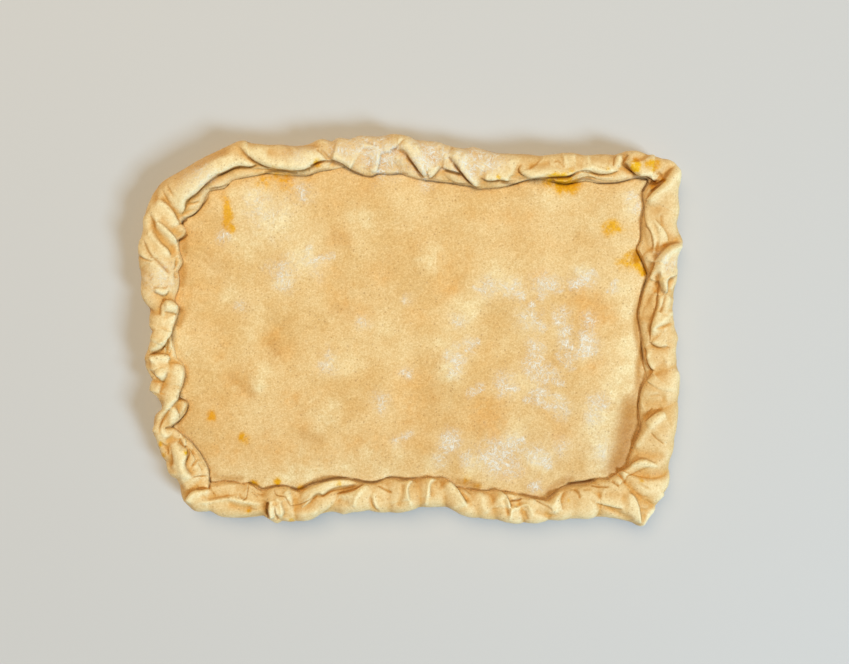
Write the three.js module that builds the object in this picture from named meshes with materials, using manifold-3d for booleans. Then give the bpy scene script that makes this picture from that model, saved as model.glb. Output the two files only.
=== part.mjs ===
// A raw rectangular empanada: a flat parcel of dough with a low, lumpy lid, sealed all round by a
// rope rim of hand-pleated folds.
// Millimetres, +Z up, +X along the long sides; the origin is the middle of the flat underside.
import * as THREE from 'three';
import { LoftGeometry } from 'three/addons/geometries/LoftGeometry.js';
import { mergeVertices } from 'three/addons/utils/BufferGeometryUtils.js';
import Module from 'manifold-3d';

// The lid: height over the underside, height of the groove where it meets the rim, how far in from the
// rim it takes to rise from there, level of the block's underside, and spacing of its facets.
const LID_HEIGHT = 19;
const GROOVE_HEIGHT = 15.5;
const GROOVE_FADE = 6;
const LID_UNDERSIDE = 5;
const LID_FACET = 7.5;

// The plain roll under the folds: half width, inward shift and height of its middle, rise of its crest
// over that, how far in from the seal line it ends in the lid, how far the lid runs on under it, height
// of the wall that trims the lid, how much the lower half sags, and half the chord that gives headings.
const ROLL_HALF_WIDTH = 10.5;
const ROLL_SHIFT = 1.5;
const ROLL_MIDDLE = 10;
const ROLL_RISE = 10.5;
const GROOVE_INSET = 11;
const LID_OVERLAP = 2;
const TRIM_HEIGHT = 40;
const SAG = 0.45;
const HALF_CHORD = 14;

// The floor under the lid, as a share of the outline of the roll's inner edge and a rise over it.
const FLOOR_SHRINK = 0.97;
const FLOOR_RISE = 0.01;

// Folds lie on the roll like the strands of a rope. Angles are round the roll: 0 outside, 90 on the
// crest, 180 inside. Arc length per degree, the angles where pleats begin and end, greatest thickness,
// thickness to width of the narrow ones, slope that lifts one edge, bluntness and overrun of the ends.
const ARC_PER_DEGREE = THREE.MathUtils.degToRad(11);
const PLEAT_START = -5;
const PLEAT_END = 148;
const FOLD_THICKNESS = 11;
const NARROW_THICKNESS = 0.7;
const LIP_SLOPE = 0.16;
const END_BLUNTNESS = 0.6;
const END_OVERRUN = 1.08;

// Facets: points that measure distances from the seal line, columns round the rim, steps up the roll,
// and round and along each fold.
const SEAL_SAMPLES = 336;
const COLUMNS = 84;
const ROLL_STEPS = 6;
const FOLD_AROUND = 8;
const FOLD_ALONG = 7;

// Corners closer than this are one corner.
const MERGE_DISTANCE = 1e-4;

// The seal line, the middle of the rim seen from above: clockwise from the upper left corner.
const SEAL_LINE = [
  [-144, 89.5], [-116, 103.5], [-75, 106], [-28, 110], [18, 103.5], [68, 99.5], [117.5, 99.5],
  [145, 99], [154, 85.5], [156.5, 48.5], [153, 8], [155.5, -29], [153.5, -66], [148, -93],
  [133, -107.5], [87, -110], [43, -107.5], [0, -102.5], [-44, -107], [-87, -109.5], [-127, -106.5],
  [-140.5, -88.5], [-149.5, -56], [-151.5, -23], [-154, 11], [-157, 41], [-155, 68],
];

// Lumps and hollows that the filling makes in the lid: middle x and y, radius, rise.
const LUMPS = [
  [-84, -7, 26, -1.6], [-109, -29, 20, -1.2], [-44, 20, 24, -1.4], [6, -35, 24, -1.5], [55, 69, 30, -1.4],
  [103, 14, 20, -1], [24, -26, 20, 1.5], [-28, 70, 30, 1.2], [12, 42, 24, 1.2], [55, 27, 26, 1.2],
  [108, -11, 26, 1.6], [65, -63, 22, 1.3], [114, -54, 22, 1.4], [24, -69, 22, 1.2], [-53, -57, 26, 1.2],
  [-92, -29, 18, 1], [-93, 58, 26, 1],
];

// Pleats that cross the rim from outside to inside: start and end along the seal line, width, rise.
const PLEATS = [
  [90, 128, 22, 2.6], [137, 159, 21, 3.2], [154, 173, 18, 2], [162, 194, 23, 3.2], [184, 210, 22, 2.5],
  [302, 326, 22, 2.6], [342, 367, 16, 2.6], [391, 400, 17, 2.8], [402, 407, 16, 2], [412, 422, 22, 2],
  [427, 445, 27, 2.6], [447, 477, 28, 2.8], [469, 485, 20, 2], [485, 508, 14, 3.2],
  [506, 527, 22, 3.2], [519, 531, 20, 2.4], [543, 541, 22, 3], [556, 551, 16, 2], [567, 576, 17, 2.8],
  [582, 593, 19, 3.2], [598, 611, 21, 2], [609, 625, 22, 3.2], [631, 640, 21, 2.4], [650, 653, 23, 3],
  [669, 668, 20, 2], [687, 671, 20, 2.8], [720, 693, 21, 2.6], [722, 723, 12, 3], [731, 729, 14, 3.4],
  [777, 773, 18, 2], [788, 776, 15, 1.5], [817, 833, 13, 3], [863, 859, 12, 3.2], [892, 893, 14, 3.2],
  [917, 900, 22, 3], [936, 908, 18, 2.6], [951, 921, 18, 3.2], [960, 937, 16, 2.6], [966, 950, 15, 2.6],
];

// Rolls and strands that run along the rim: start and end along the seal line, angle round the roll at
// each, width, rise.
const ROLLS = [
  [-20, 54, 70, 95, 26, 2.6], [38, 98, 45, 105, 24, 3.2], [107, 147, 55, 65, 20, 2.6],
  [123, 154, 120, 120, 18, 2], [174, 221, 50, 65, 20, 2], [214, 259, 95, 90, 22, 2.8],
  [217, 278, 50, 60, 20, 2], [257, 295, 115, 115, 16, 1.5], [280, 304, 55, 60, 25, 3.2],
  [300, 312, 10, 40, 18, 4], [313, 343, 50, 60, 20, 2.6], [321, 349, 120, 80, 16, 2],
  [347, 379, 50, 70, 16, 2.8], [373, 399, 65, 110, 15, 2.8], [504, 511, 0, 25, 15, 6],
  [729, 776, 80, 45, 23, 2.6], [785, 816, 80, 80, 18, 2.8], [790, 812, 30, 30, 16, 1.6],
  [808, 829, 40, 45, 16, 2], [829, 864, 80, 115, 23, 3.2], [838, 860, 40, 35, 16, 2],
  [865, 897, 50, 120, 22, 3.2], [-16, 59, 150, 135, 14, 1.2], [71, 108, 155, 135, 12, 1.2],
  [232, 263, 130, 120, 12, 1], [306, 361, 135, 145, 12, 1], [364, 407, 130, 140, 17, 1.6],
  [552, 583, 90, 125, 13, 2.2], [671, 711, 140, 115, 15, 1.6], [713, 735, 135, 115, 15, 1.6],
  [735, 770, 135, 110, 15, 1.6], [779, 806, 125, 140, 18, 1.6], [819, 834, 110, 160, 14, 2.2],
  [897, 917, 125, 150, 12, 1.6],
];

const wasm = await Module();
wasm.setup();

const sealPoints = SEAL_LINE.map(([x, y]) => new THREE.Vector3(x, y, 0));
const sealCurve = new THREE.CatmullRomCurve3(sealPoints, true, 'catmullrom', 0.5);
const sealLength = sealCurve.getLength();

// The point of the seal line a given way along it.
function sealPoint(along) {
  return sealCurve.getPointAt(THREE.MathUtils.euclideanModulo(along / sealLength, 1));
}

// The point a given way along the seal line and out from it, at height z. Its heading there is that of
// a chord, so that the rim turns the corners gently.
function rimPoint(along, out, z) {
  const chord = sealPoint(along + HALF_CHORD).sub(sealPoint(along - HALF_CHORD)).normalize();
  const point = sealPoint(along);
  return new THREE.Vector3(point.x - chord.y * out, point.y + chord.x * out, z);
}

// Height of the lid at a point: it falls to the groove near the rim, and follows its lumps.
function lidHeight(x, y, sealLine) {
  const place = new THREE.Vector3(x, y, 0);
  const fromSeal = Math.min(...sealLine.map((point) => point.distanceTo(place)));
  const inset = Math.max(fromSeal - GROOVE_INSET, 0);
  let height = LID_HEIGHT - (LID_HEIGHT - GROOVE_HEIGHT) * Math.exp(-inset / GROOVE_FADE);
  for (const [lumpX, lumpY, radius, rise] of LUMPS) {
    const distance = Math.hypot(x - lumpX, y - lumpY) / radius;
    height += rise * Math.exp(-2 * distance * distance);
  }
  return height;
}

// The point a given way along the rim and round the roll, lifted off the roll's plain surface. Below
// its middle the roll sags, so that its side stands nearly upright.
function rollPoint(along, degrees, lift) {
  const angle = THREE.MathUtils.degToRad(degrees);
  const side = degrees < 0 ? Math.cos(angle) ** SAG : Math.cos(angle);
  const out = (ROLL_HALF_WIDTH + lift) * side - ROLL_SHIFT;
  return rimPoint(along, out, ROLL_MIDDLE + (ROLL_RISE + lift) * Math.sin(angle));
}

// A closed ring round the rim, counter-clockwise, from a function of the distance along the seal line.
function ring(pointAt) {
  const points = [];
  for (let column = COLUMNS; column > 0; column -= 1) {
    points.push(pointAt((column / COLUMNS) * sealLength));
  }
  return points;
}

// The base: flat underside and the plain roll all round, with a floor for the lid inside it.
function baseGeometry() {
  const rings = [];
  const footAngle = -THREE.MathUtils.radToDeg(Math.asin(ROLL_MIDDLE / ROLL_RISE));
  const grooveAngle = THREE.MathUtils.radToDeg(Math.acos((ROLL_SHIFT - GROOVE_INSET) / ROLL_HALF_WIDTH));
  for (let step = 0; step <= ROLL_STEPS; step += 1) {
    const degrees = THREE.MathUtils.lerp(footAngle, grooveAngle, step / ROLL_STEPS);
    rings.push(ring((along) => rollPoint(along, degrees, 0)));
  }
  const floor = new THREE.Vector3(FLOOR_SHRINK, FLOOR_SHRINK, 1 + FLOOR_RISE);
  rings.push(rings.at(-1).map((point) => point.clone().multiply(floor)));
  return new LoftGeometry(rings, { capStart: true, capEnd: true });
}

// The lid: a block whose top follows the lumps of the filling, trimmed to the inside of the roll.
function lidSolid() {
  const sealLine = sealCurve.getSpacedPoints(SEAL_SAMPLES);
  const size = new THREE.Box3().setFromPoints(sealLine).getSize(new THREE.Vector3());
  const steps = [Math.round(size.x / LID_FACET), Math.round(size.y / LID_FACET)];
  const block = new THREE.BoxGeometry(size.x, size.y, 1, steps[0], steps[1], 1);
  const position = block.getAttribute('position');
  for (let index = 0; index < position.count; index += 1) {
    const isTop = position.getZ(index) > 0;
    const height = lidHeight(position.getX(index), position.getY(index), sealLine);
    position.setZ(index, isTop ? height : LID_UNDERSIDE);
  }
  const trim = new LoftGeometry([
    ring((along) => rimPoint(along, LID_OVERLAP - GROOVE_INSET, 0)),
    ring((along) => rimPoint(along, LID_OVERLAP - GROOVE_INSET, TRIM_HEIGHT)),
  ], { capStart: true, capEnd: true });
  return solidOf(block).intersect(solidOf(trim));
}

// One fold: a flattened blunt tongue wrapped on the roll, with its right-hand edge raised.
function foldGeometry(startAlong, endAlong, startAngle, endAngle, width, rise) {
  const geometry = new THREE.SphereGeometry(1, FOLD_AROUND, FOLD_ALONG);
  const position = geometry.getAttribute('position');
  const thickness = Math.min(FOLD_THICKNESS, width * NARROW_THICKNESS);
  const start = new THREE.Vector2(startAlong, startAngle * ARC_PER_DEGREE);
  const end = new THREE.Vector2(endAlong, endAngle * ARC_PER_DEGREE);
  const middle = start.clone().add(end).multiplyScalar(0.5);
  const reach = end.clone().sub(start).multiplyScalar(END_OVERRUN / 2);
  const right = new THREE.Vector2(-reach.y, reach.x).normalize();
  for (let index = 0; index < position.count; index += 1) {
    const radius = Math.hypot(position.getX(index), position.getZ(index));
    const swell = radius > MERGE_DISTANCE ? radius ** END_BLUNTNESS / radius : 0;
    const across = (position.getX(index) * swell * width) / 2;
    const up = (position.getZ(index) * swell * thickness) / 2;
    const lift = rise - thickness / 2 + up + across * LIP_SLOPE;
    const spine = middle.clone().addScaledVector(reach, position.getY(index));
    const place = spine.addScaledVector(right, across);
    const point = rollPoint(place.x, place.y / ARC_PER_DEGREE, lift);
    position.setXYZ(index, point.x, point.y, point.z);
  }
  return geometry;
}

// The folds of the whole rim, pleats first.
function foldGeometries() {
  const pleats = PLEATS.map(([startAlong, endAlong, width, rise]) => (
    foldGeometry(startAlong, endAlong, PLEAT_START, PLEAT_END, width, rise)
  ));
  return [...pleats, ...ROLLS.map((roll) => foldGeometry(...roll))];
}

// A closed geometry as a solid that can be joined or trimmed.
function solidOf(geometry) {
  const bare = new THREE.BufferGeometry();
  bare.setAttribute('position', geometry.getAttribute('position'));
  bare.setIndex(geometry.index);
  const merged = mergeVertices(bare, MERGE_DISTANCE);
  return new wasm.Manifold(new wasm.Mesh({
    numProp: 3,
    vertProperties: merged.getAttribute('position').array,
    triVerts: new Uint32Array(merged.index.array),
  }));
}

// The mesh of a solid as a geometry.
function geometryOf(solid) {
  const mesh = solid.getMesh();
  const geometry = new THREE.BufferGeometry();
  geometry.setAttribute('position', new THREE.BufferAttribute(mesh.vertProperties, 3));
  geometry.setIndex(new THREE.BufferAttribute(mesh.triVerts, 1));
  return geometry;
}

// The outer skin of a solid alone, so that air shut in between folds is filled.
function largestSkin(solid) {
  const skins = solidOf(geometryOf(solid)).decompose();
  skins.sort((first, second) => second.volume() - first.volume());
  return skins[0];
}

// Base, lid and all folds joined, moved so that the origin is the middle of the underside.
function empanadaGeometry() {
  let solid = solidOf(baseGeometry()).add(lidSolid());
  for (const fold of foldGeometries()) {
    solid = solid.add(solidOf(fold));
  }
  const geometry = geometryOf(largestSkin(solid));
  geometry.computeBoundingBox();
  const middle = geometry.boundingBox.getCenter(new THREE.Vector3());
  geometry.translate(-middle.x, -middle.y, -geometry.boundingBox.min.z);
  geometry.computeVertexNormals();
  return geometry;
}

const dough = new THREE.MeshStandardMaterial({ name: 'dough', color: 0xe8c78c, roughness: 0.6 });
const empanada = new THREE.Mesh(empanadaGeometry(), dough);
empanada.name = 'empanada';

const group = new THREE.Group();
group.name = 'empanada_part';
group.add(empanada);
export default group;
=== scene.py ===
"""A raw rectangular empanada: a floured lid of dough inside a rope rim of hand-pleated folds.

Shapes are worked out in millimetres and turned into metres when a mesh is made. Details of the dough
are given as strokes and dabs in picture pixels, x to the right and y down, read from above.
"""

import itertools
import math

import bpy
import numpy as np
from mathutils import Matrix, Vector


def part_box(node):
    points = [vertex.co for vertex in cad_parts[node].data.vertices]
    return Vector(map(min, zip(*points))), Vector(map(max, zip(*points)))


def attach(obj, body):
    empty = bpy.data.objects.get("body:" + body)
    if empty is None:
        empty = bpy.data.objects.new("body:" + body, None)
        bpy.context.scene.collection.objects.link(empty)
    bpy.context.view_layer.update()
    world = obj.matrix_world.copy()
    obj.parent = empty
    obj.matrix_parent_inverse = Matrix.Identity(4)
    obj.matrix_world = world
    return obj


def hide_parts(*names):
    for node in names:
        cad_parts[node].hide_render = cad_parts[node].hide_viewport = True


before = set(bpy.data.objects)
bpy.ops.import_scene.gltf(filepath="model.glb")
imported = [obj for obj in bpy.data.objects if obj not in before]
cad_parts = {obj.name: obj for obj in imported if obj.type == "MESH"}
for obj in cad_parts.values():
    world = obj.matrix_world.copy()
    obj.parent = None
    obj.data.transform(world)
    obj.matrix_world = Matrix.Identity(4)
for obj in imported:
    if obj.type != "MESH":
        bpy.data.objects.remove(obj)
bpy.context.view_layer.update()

MM = 0.001

# The lid: height over the underside, height of the groove where it meets the rim, how far in from the
# rim it takes to rise from there, level of its hidden underside, spacing of its grid, and how far it
# goes on under the rim.
LID_HEIGHT = 19.0
GROOVE_HEIGHT = 16.5
GROOVE_FADE = 5.0
LID_UNDERSIDE = 8.0
LID_STEP = 0.8
LID_TUCK = 3.5

# The plain roll under the folds: heights of its side, of the outline that shows from above, of its crest
# and of the edge that it turns in over the lid, drop of its foot under the side, how flat its section is
# outside and inside (1 is round), how far the edge is undercut and how far down, sag of its lower half,
# and half the chord that gives its headings. Then the angles of crest and edge round the roll.
ROLL_MIDDLE = 10.0
OUTLINE_HEIGHT = 15.0
ROLL_CREST = 21.4
ROLL_EDGE = 17.0
ROLL_DROP = 10.5
OUTER_FLATNESS = 0.85
INNER_FLATNESS = 0.8
UNDERCUT = 4.0
UNDERCUT_DROP = 5.0
SAG = 0.45
HALF_CHORD = 14.0
CREST_ANGLE = 90
EDGE_ANGLE = 180

# Folds: radius of the roll that they are measured on, its arc length per degree, angles where pleats
# begin and end, greatest thickness, thickness to width of the narrow ones, slope that lifts one edge,
# bluntness and overrun of the ends.
ROLL_RADIUS = 11
ARC_PER_DEGREE = math.radians(ROLL_RADIUS)
PLEAT_START = -5
PLEAT_END = 148
FOLD_THICKNESS = 11.0
NARROW_THICKNESS = 0.7
LIP_SLOPE = 0.16
END_BLUNTNESS = 0.6
END_OVERRUN = 1.08

# How softly the folds swell under the strokes, their share of the relief, and the mean taken off.
FOLD_SOFTNESS = 0.8
FOLD_SHARE = 0.8
FOLD_MEAN = 2.0

# The rim's grid: columns along it, rows round the roll below its side, over it and under the lid, and
# how many triangles are left when its smooth places are thinned out.
RIM_COLUMNS = 2560
FOOT_ROWS = np.linspace(-72, -6, 10)
CREST_ROWS = np.linspace(0, 180, 84)
TUCKED_ROWS = np.linspace(184, 210, 4)
RIM_TRIANGLES = 190000

# The seal line, the middle of the rim seen from above: clockwise from the upper left corner.
SEAL_LINE = [
    (-144, 89.5), (-116, 103.5), (-75, 106), (-28, 110), (18, 103.5), (68, 99.5), (117.5, 99.5),
    (145, 99), (154, 85.5), (156.5, 48.5), (153, 8), (155.5, -29), (153.5, -66), (148, -93),
    (133, -107.5), (87, -110), (43, -107.5), (0, -102.5), (-44, -107), (-87, -109.5), (-127, -106.5),
    (-140.5, -88.5), (-149.5, -56), (-151.5, -23), (-154, 11), (-157, 41), (-155, 68),
]

# Lumps and hollows that the filling makes in the lid: middle x and y, radius, rise.
LUMPS = [
    (-84, -7, 26, -1.6), (-109, -29, 20, -1.2), (-44, 20, 24, -1.4), (6, -35, 24, -1.5),
    (55, 69, 30, -1.4), (103, 14, 20, -1), (24, -26, 20, 1.5), (-28, 70, 30, 1.2), (12, 42, 24, 1.2),
    (55, 27, 26, 1.2), (108, -11, 26, 1.6), (65, -63, 22, 1.3), (114, -54, 22, 1.4), (24, -69, 22, 1.2),
    (-53, -57, 26, 1.2), (-92, -29, 18, 1), (-93, 58, 26, 1),
]

# Pleats that cross the rim from outside to inside: start and end along the seal line, width, rise.
PLEATS = [
    (90, 128, 22, 2.6), (137, 159, 21, 3.2), (154, 173, 18, 2), (162, 194, 23, 3.2), (184, 210, 22, 2.5),
    (302, 326, 22, 2.6), (342, 367, 16, 2.6), (391, 400, 17, 2.8), (402, 407, 16, 2), (412, 422, 22, 2),
    (427, 445, 27, 2.6), (447, 477, 28, 2.8), (469, 485, 20, 2), (485, 508, 14, 3.2), (506, 527, 22, 3.2),
    (519, 531, 20, 2.4), (543, 541, 22, 3), (556, 551, 16, 2), (567, 576, 17, 2.8), (582, 593, 19, 3.2),
    (598, 611, 21, 2), (609, 625, 22, 3.2), (631, 640, 21, 2.4), (650, 653, 23, 3), (669, 668, 20, 2),
    (687, 671, 20, 2.8), (720, 693, 21, 2.6), (722, 723, 12, 3), (731, 729, 14, 3.4), (777, 773, 18, 2),
    (788, 776, 15, 1.5), (817, 833, 13, 3), (863, 859, 12, 3.2), (892, 893, 14, 3.2), (917, 900, 22, 3),
    (936, 908, 18, 2.6), (951, 921, 18, 3.2), (960, 937, 16, 2.6), (966, 950, 15, 2.6),
]

# Rolls and strands that run along the rim: start and end along the seal line, angle round the roll at
# each, width, rise.
ROLLS = [
    (-20, 54, 70, 95, 26, 2.6), (38, 98, 45, 105, 24, 3.2), (107, 147, 55, 65, 20, 2.6),
    (123, 154, 120, 120, 18, 2), (174, 221, 50, 65, 20, 2), (214, 259, 95, 90, 22, 2.8),
    (217, 278, 50, 60, 20, 2), (257, 295, 115, 115, 16, 1.5), (280, 304, 55, 60, 25, 3.2),
    (300, 312, 10, 40, 18, 4), (313, 343, 50, 60, 20, 2.6), (321, 349, 120, 80, 16, 2),
    (347, 379, 50, 70, 16, 2.8), (373, 399, 65, 110, 15, 2.8), (504, 511, 0, 25, 15, 6),
    (729, 776, 80, 45, 23, 2.6), (785, 816, 80, 80, 18, 2.8), (790, 812, 30, 30, 16, 1.6),
    (808, 829, 40, 45, 16, 2), (829, 864, 80, 115, 23, 3.2), (838, 860, 40, 35, 16, 2),
    (865, 897, 50, 120, 22, 3.2), (-16, 59, 150, 135, 14, 1.2), (71, 108, 155, 135, 12, 1.2),
    (232, 263, 130, 120, 12, 1), (306, 361, 135, 145, 12, 1), (364, 407, 130, 140, 17, 1.6),
    (552, 583, 90, 125, 13, 2.2), (671, 711, 140, 115, 15, 1.6), (713, 735, 135, 115, 15, 1.6),
    (735, 770, 135, 110, 15, 1.6), (779, 806, 125, 140, 18, 1.6), (819, 834, 110, 160, 14, 2.2),
    (897, 917, 125, 150, 12, 1.6),
]

# The camera stands straight over the part: its place in the seal line's frame, in millimetres; the middle
# of the picture, its width and the distance of the picture plane, in pixels; width of the sensor; and what
# a pixel covers at the height of the rim.
CAMERA_PLACE = (8.7, -2.5, 440.0)
PICTURE_MIDDLE = (424.5, 332.0)
PICTURE_WIDTH = 849
PICTURE_DISTANCE = 695
SENSOR_WIDTH = 36.0
MM_PER_PIXEL = 0.612

# The rim's outer outline, clockwise from the upper left.
OUTLINE = [
    (149, 200), (152, 190), (160, 180.5), (172, 172.5), (190, 162), (203, 154.5), (218, 147.5),
    (232, 141.5), (238, 139), (244, 138.5), (252, 141.5), (265, 143), (280, 142), (295, 143.5),
    (310, 142), (321, 138.5), (332, 140), (338, 136.5), (350, 136.5), (360, 133), (375, 133.5),
    (387, 133), (400, 134), (410, 136.5), (424, 139.5), (438, 141.5), (452, 145.5), (467, 147),
    (473, 145.5), (480, 147), (495, 150), (512, 151.5), (528, 151.5), (540, 153.5), (553, 152.5),
    (566, 150.5), (577, 151), (585, 153), (600, 152), (613, 152), (621, 151), (628, 148.5), (637, 149.5),
    (647, 153), (663, 157.5), (674, 163.5), (677.5, 172), (678.5, 188), (680.5, 210), (680.5, 217),
    (679, 224), (682.5, 234), (684, 240), (684, 244), (680, 252), (679, 262), (679, 280), (676, 294),
    (673, 311), (675.5, 325), (680, 338), (679, 343), (677.5, 351), (679, 362), (681, 388), (681, 397),
    (679, 418), (675.5, 448), (672, 461), (670, 482), (664, 497), (657, 507), (649, 515), (644, 523),
    (641, 525.5), (637, 525), (627, 522), (612, 519.5), (590, 519.5), (577, 519.5), (566, 521.5),
    (545, 522.5), (527, 525), (510, 523.5), (490, 521), (472, 518.5), (458, 514), (447, 509.5),
    (437, 508), (420, 509.5), (407, 512), (395, 515), (382, 514), (368, 512), (353, 512.5), (343, 516),
    (332, 514.5), (322, 516), (310, 521), (295, 522.5), (283, 522), (278, 524), (271, 520.5),
    (263, 518.5), (245, 520), (228, 520), (219, 518.5), (210, 513.5), (195, 512.5), (187, 507),
    (181, 500), (178.5, 493), (176, 480), (170, 476), (165, 463), (159, 455), (157, 441), (153, 432),
    (152, 423), (153.5, 415), (159.5, 410), (160, 407), (157, 397), (149.5, 390), (150, 377),
    (142.5, 361), (143, 356), (149.5, 340), (150, 325), (147, 310), (142, 297), (140.3, 284), (139, 265),
    (138.3, 255), (140, 245), (143, 232), (143.5, 220), (145.5, 210),
]

# The line where the lid meets the rim, clockwise from the upper left.
MEETING = [
    (183, 219), (190, 216.5), (196, 213), (203, 203), (209, 192), (221, 189), (226, 187), (232, 181),
    (240, 178.8), (256, 176), (266, 174), (280, 175.5), (302, 176.5), (308, 176), (320, 172), (338, 169),
    (345, 168), (355, 173), (370, 177), (378, 174.5), (390, 175), (400, 174), (410, 177), (424, 180.5),
    (440, 182.5), (460, 185), (470, 186.5), (479, 189), (495, 188), (510, 185.5), (525, 181.5),
    (538, 179.5), (552, 182), (565, 184.5), (580, 182), (587, 181.5), (600, 184), (618, 183),
    (633, 179.5), (643, 179), (647, 182), (643, 190), (642, 197), (643.5, 209), (641, 222), (640.5, 239),
    (636.5, 250), (641, 260), (645, 270), (646.5, 277), (643, 290), (640, 304), (637.5, 317),
    (641.5, 338), (641, 346), (643.5, 366), (645.5, 374), (645.5, 379), (641, 388), (638.5, 400),
    (637.5, 408), (640, 427), (634, 443), (629, 457), (627.5, 465), (618, 472), (608, 479), (596, 479.5),
    (586, 484.5), (570, 485.5), (558, 491), (550, 497), (546, 499.5), (530, 497), (515, 492.5),
    (501, 491), (488, 490), (475, 490), (460, 487), (456, 487.5), (448, 479.5), (432, 477.5),
    (420, 478.5), (403, 480.5), (390, 477.5), (380, 481), (368, 482.3), (352, 479.8), (337, 479),
    (318, 483), (304, 488.5), (300, 491), (290, 487.3), (276, 486.3), (264, 489.8), (258, 488.5),
    (250, 482.5), (245, 484.5), (240, 483), (224, 481.5), (211, 482), (209, 470), (202, 455), (193, 443),
    (185, 436), (176, 428.5), (172, 427), (180, 420), (187, 411), (188.5, 405), (187, 400.5), (179, 397),
    (183, 384), (185, 374), (184, 364), (177, 357), (174.5, 345), (171.5, 333.5), (178, 314),
    (179.5, 308), (175, 300), (179, 286), (179.5, 275), (178.5, 271), (183, 262), (180, 251), (179, 241),
    (185, 235), (186.3, 230), (182.5, 223),
]

# Edges of flaps that lie over their neighbours: drop in millimetres and points. The flap that lies
# over is on the right of the way the points go.
EDGES = [
    (3, [(259, 164.5), (251, 168), (238, 167), (228, 171.5), (215, 177), (205, 185), (196, 194),
         (187, 201), (185.5, 210), (183, 219)]),
    (2.8, [(330, 160.5), (318, 162), (306, 169.5), (288, 170), (264, 166), (250, 158.5), (240, 148.5),
         (237, 145.5)]),
    (2.5, [(350, 170), (340, 164), (330, 160.5)]), (1.2, [(381, 152), (380, 160), (377, 173)]),
    (1.2, [(404, 141), (397, 147), (390, 152.5), (381, 152)]),
    (2.6, [(424, 179), (419, 172), (410, 159.5), (403, 151.5), (396, 149.5)]),
    (1.5, [(442, 166), (437, 172.5), (431, 179), (427, 179.5)]),
    (1.2, [(461, 174.5), (451, 171), (441, 168.5)]),
    (2.6, [(479, 188), (471, 184.5), (463, 175.5), (453, 162.5), (447, 156)]),
    (1.8, [(509, 183.5), (501, 180.5), (488, 181.5), (481, 178.5)]),
    (2.2, [(580, 171), (571, 176), (558, 176.5), (543, 177.5), (530, 178.5), (521.5, 175), (519, 169),
         (523, 163)]),
    (1.8, [(621, 170.5), (611, 174), (600, 175.5), (592, 173), (580, 171)]),
    (1.2, [(614, 166), (615.5, 157), (617.5, 153)]),
    (3, [(660, 179), (652, 182), (645, 178), (638, 177.5), (631, 172), (625.5, 165), (624.5, 162),
         (627.5, 156)]),
    (2.6, [(645, 204), (648.5, 196), (657, 187.5), (663.5, 182), (668.5, 174), (673, 166.5)]),
    (0.8, [(651, 254), (653, 245), (651, 233), (646, 224), (644, 213), (646, 201)]),
    (1, [(654, 218), (660, 224.5), (667.5, 234.5), (670, 243)]),
    (2.2, [(654, 262), (658, 256), (664, 249.5), (670, 245), (681, 241.5)]),
    (2, [(647.5, 278.5), (653, 268), (655, 262)]),
    (1.4, [(675, 276.5), (668.5, 280.5), (667.5, 290), (665.5, 294.5)]),
    (1.4, [(665.5, 294.5), (661, 287.5), (658, 280)]),
    (1.5, [(649.5, 337), (651.5, 323), (657, 306), (658.5, 294)]),
    (1.2, [(660, 313), (664, 301), (665.5, 295.5)]),
    (1.3, [(668, 347.5), (660, 347.5), (653, 345), (650, 342)]),
    (1.5, [(652, 371.5), (647, 364), (644.5, 353), (643.5, 347)]),
    (1.5, [(645, 380), (648, 376), (652, 371.5)]), (1.3, [(644, 422), (653, 414.5), (664, 409.5)]),
    (1.4, [(618, 472), (627, 466.5), (635, 461), (645, 459), (658.5, 465)]),
    (0.5, [(652, 466), (640, 469.5), (630, 474), (623, 481.5), (620, 485.5)]),
    (1.6, [(628, 490.5), (635, 497), (639, 508), (640.5, 521)]),
    (1.2, [(622, 508), (611, 507), (600, 504.5), (596, 503)]),
    (0.9, [(564, 489), (561, 499), (563, 511)]),
    (2.2, [(500, 491.5), (506, 496.5), (510, 503), (510.5, 508)]),
    (1.2, [(553, 510), (545, 505), (535, 500)]),
    (2.2, [(448, 479.5), (457, 489.5), (463, 496.5), (467, 504)]),
    (1, [(437, 479.5), (430.5, 485), (431, 497)]), (1, [(414, 480.5), (408.5, 489), (410, 500)]),
    (1.6, [(358, 484.5), (343, 486), (330, 490), (323, 494.5), (315, 496), (309, 502.5), (301, 508.5)]),
    (1.6, [(337, 493), (351, 491), (360, 487), (366, 482.5)]),
    (1.8, [(268.5, 517), (267, 509), (270, 502.5)]), (0.9, [(281, 501.5), (284.3, 510.5), (283, 516)]),
    (2, [(184, 501.5), (191, 492), (203, 489), (209, 488.5)]),
    (1.8, [(188, 447), (187, 457.5), (186, 466), (193, 477.5)]),
    (1.2, [(187.5, 444.5), (185, 446.3), (180.5, 440)]),
    (1.8, [(180, 394), (175, 403), (163, 417), (159.5, 427), (159, 433)]),
    (1.2, [(175, 404.5), (179, 414), (180, 419.5)]),
    (1.6, [(167, 371), (166, 377), (161.7, 381.3), (157, 374.5), (157, 369.5)]),
    (1.5, [(161.5, 382), (160.2, 389.5), (159, 394)]), (2, [(149.5, 354.5), (161, 353.6), (172, 355.5)]),
    (1.8, [(166, 343), (159.5, 350.5), (150.5, 353.8)]),
    (2, [(171, 332.5), (166.5, 341.5), (163.5, 347)]), (1, [(178, 314), (168, 312), (163.5, 311.5)]),
    (1.2, [(160.5, 316), (161, 306), (166, 298)]), (1.2, [(162.5, 301.5), (171, 299.5), (178.5, 305.5)]),
    (1.3, [(169, 290), (164.5, 296), (157, 293), (153.5, 290)]),
    (1.8, [(159, 197), (171, 208), (182, 223)]), (1.5, [(157, 220), (168, 229), (178, 241.5)]),
    (1.5, [(151, 213), (154, 231), (161, 242.5), (169, 249.5), (171.5, 258)]),
    (1.5, [(145, 238), (150, 253), (159, 263.5), (170.5, 275)]),
]

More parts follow.
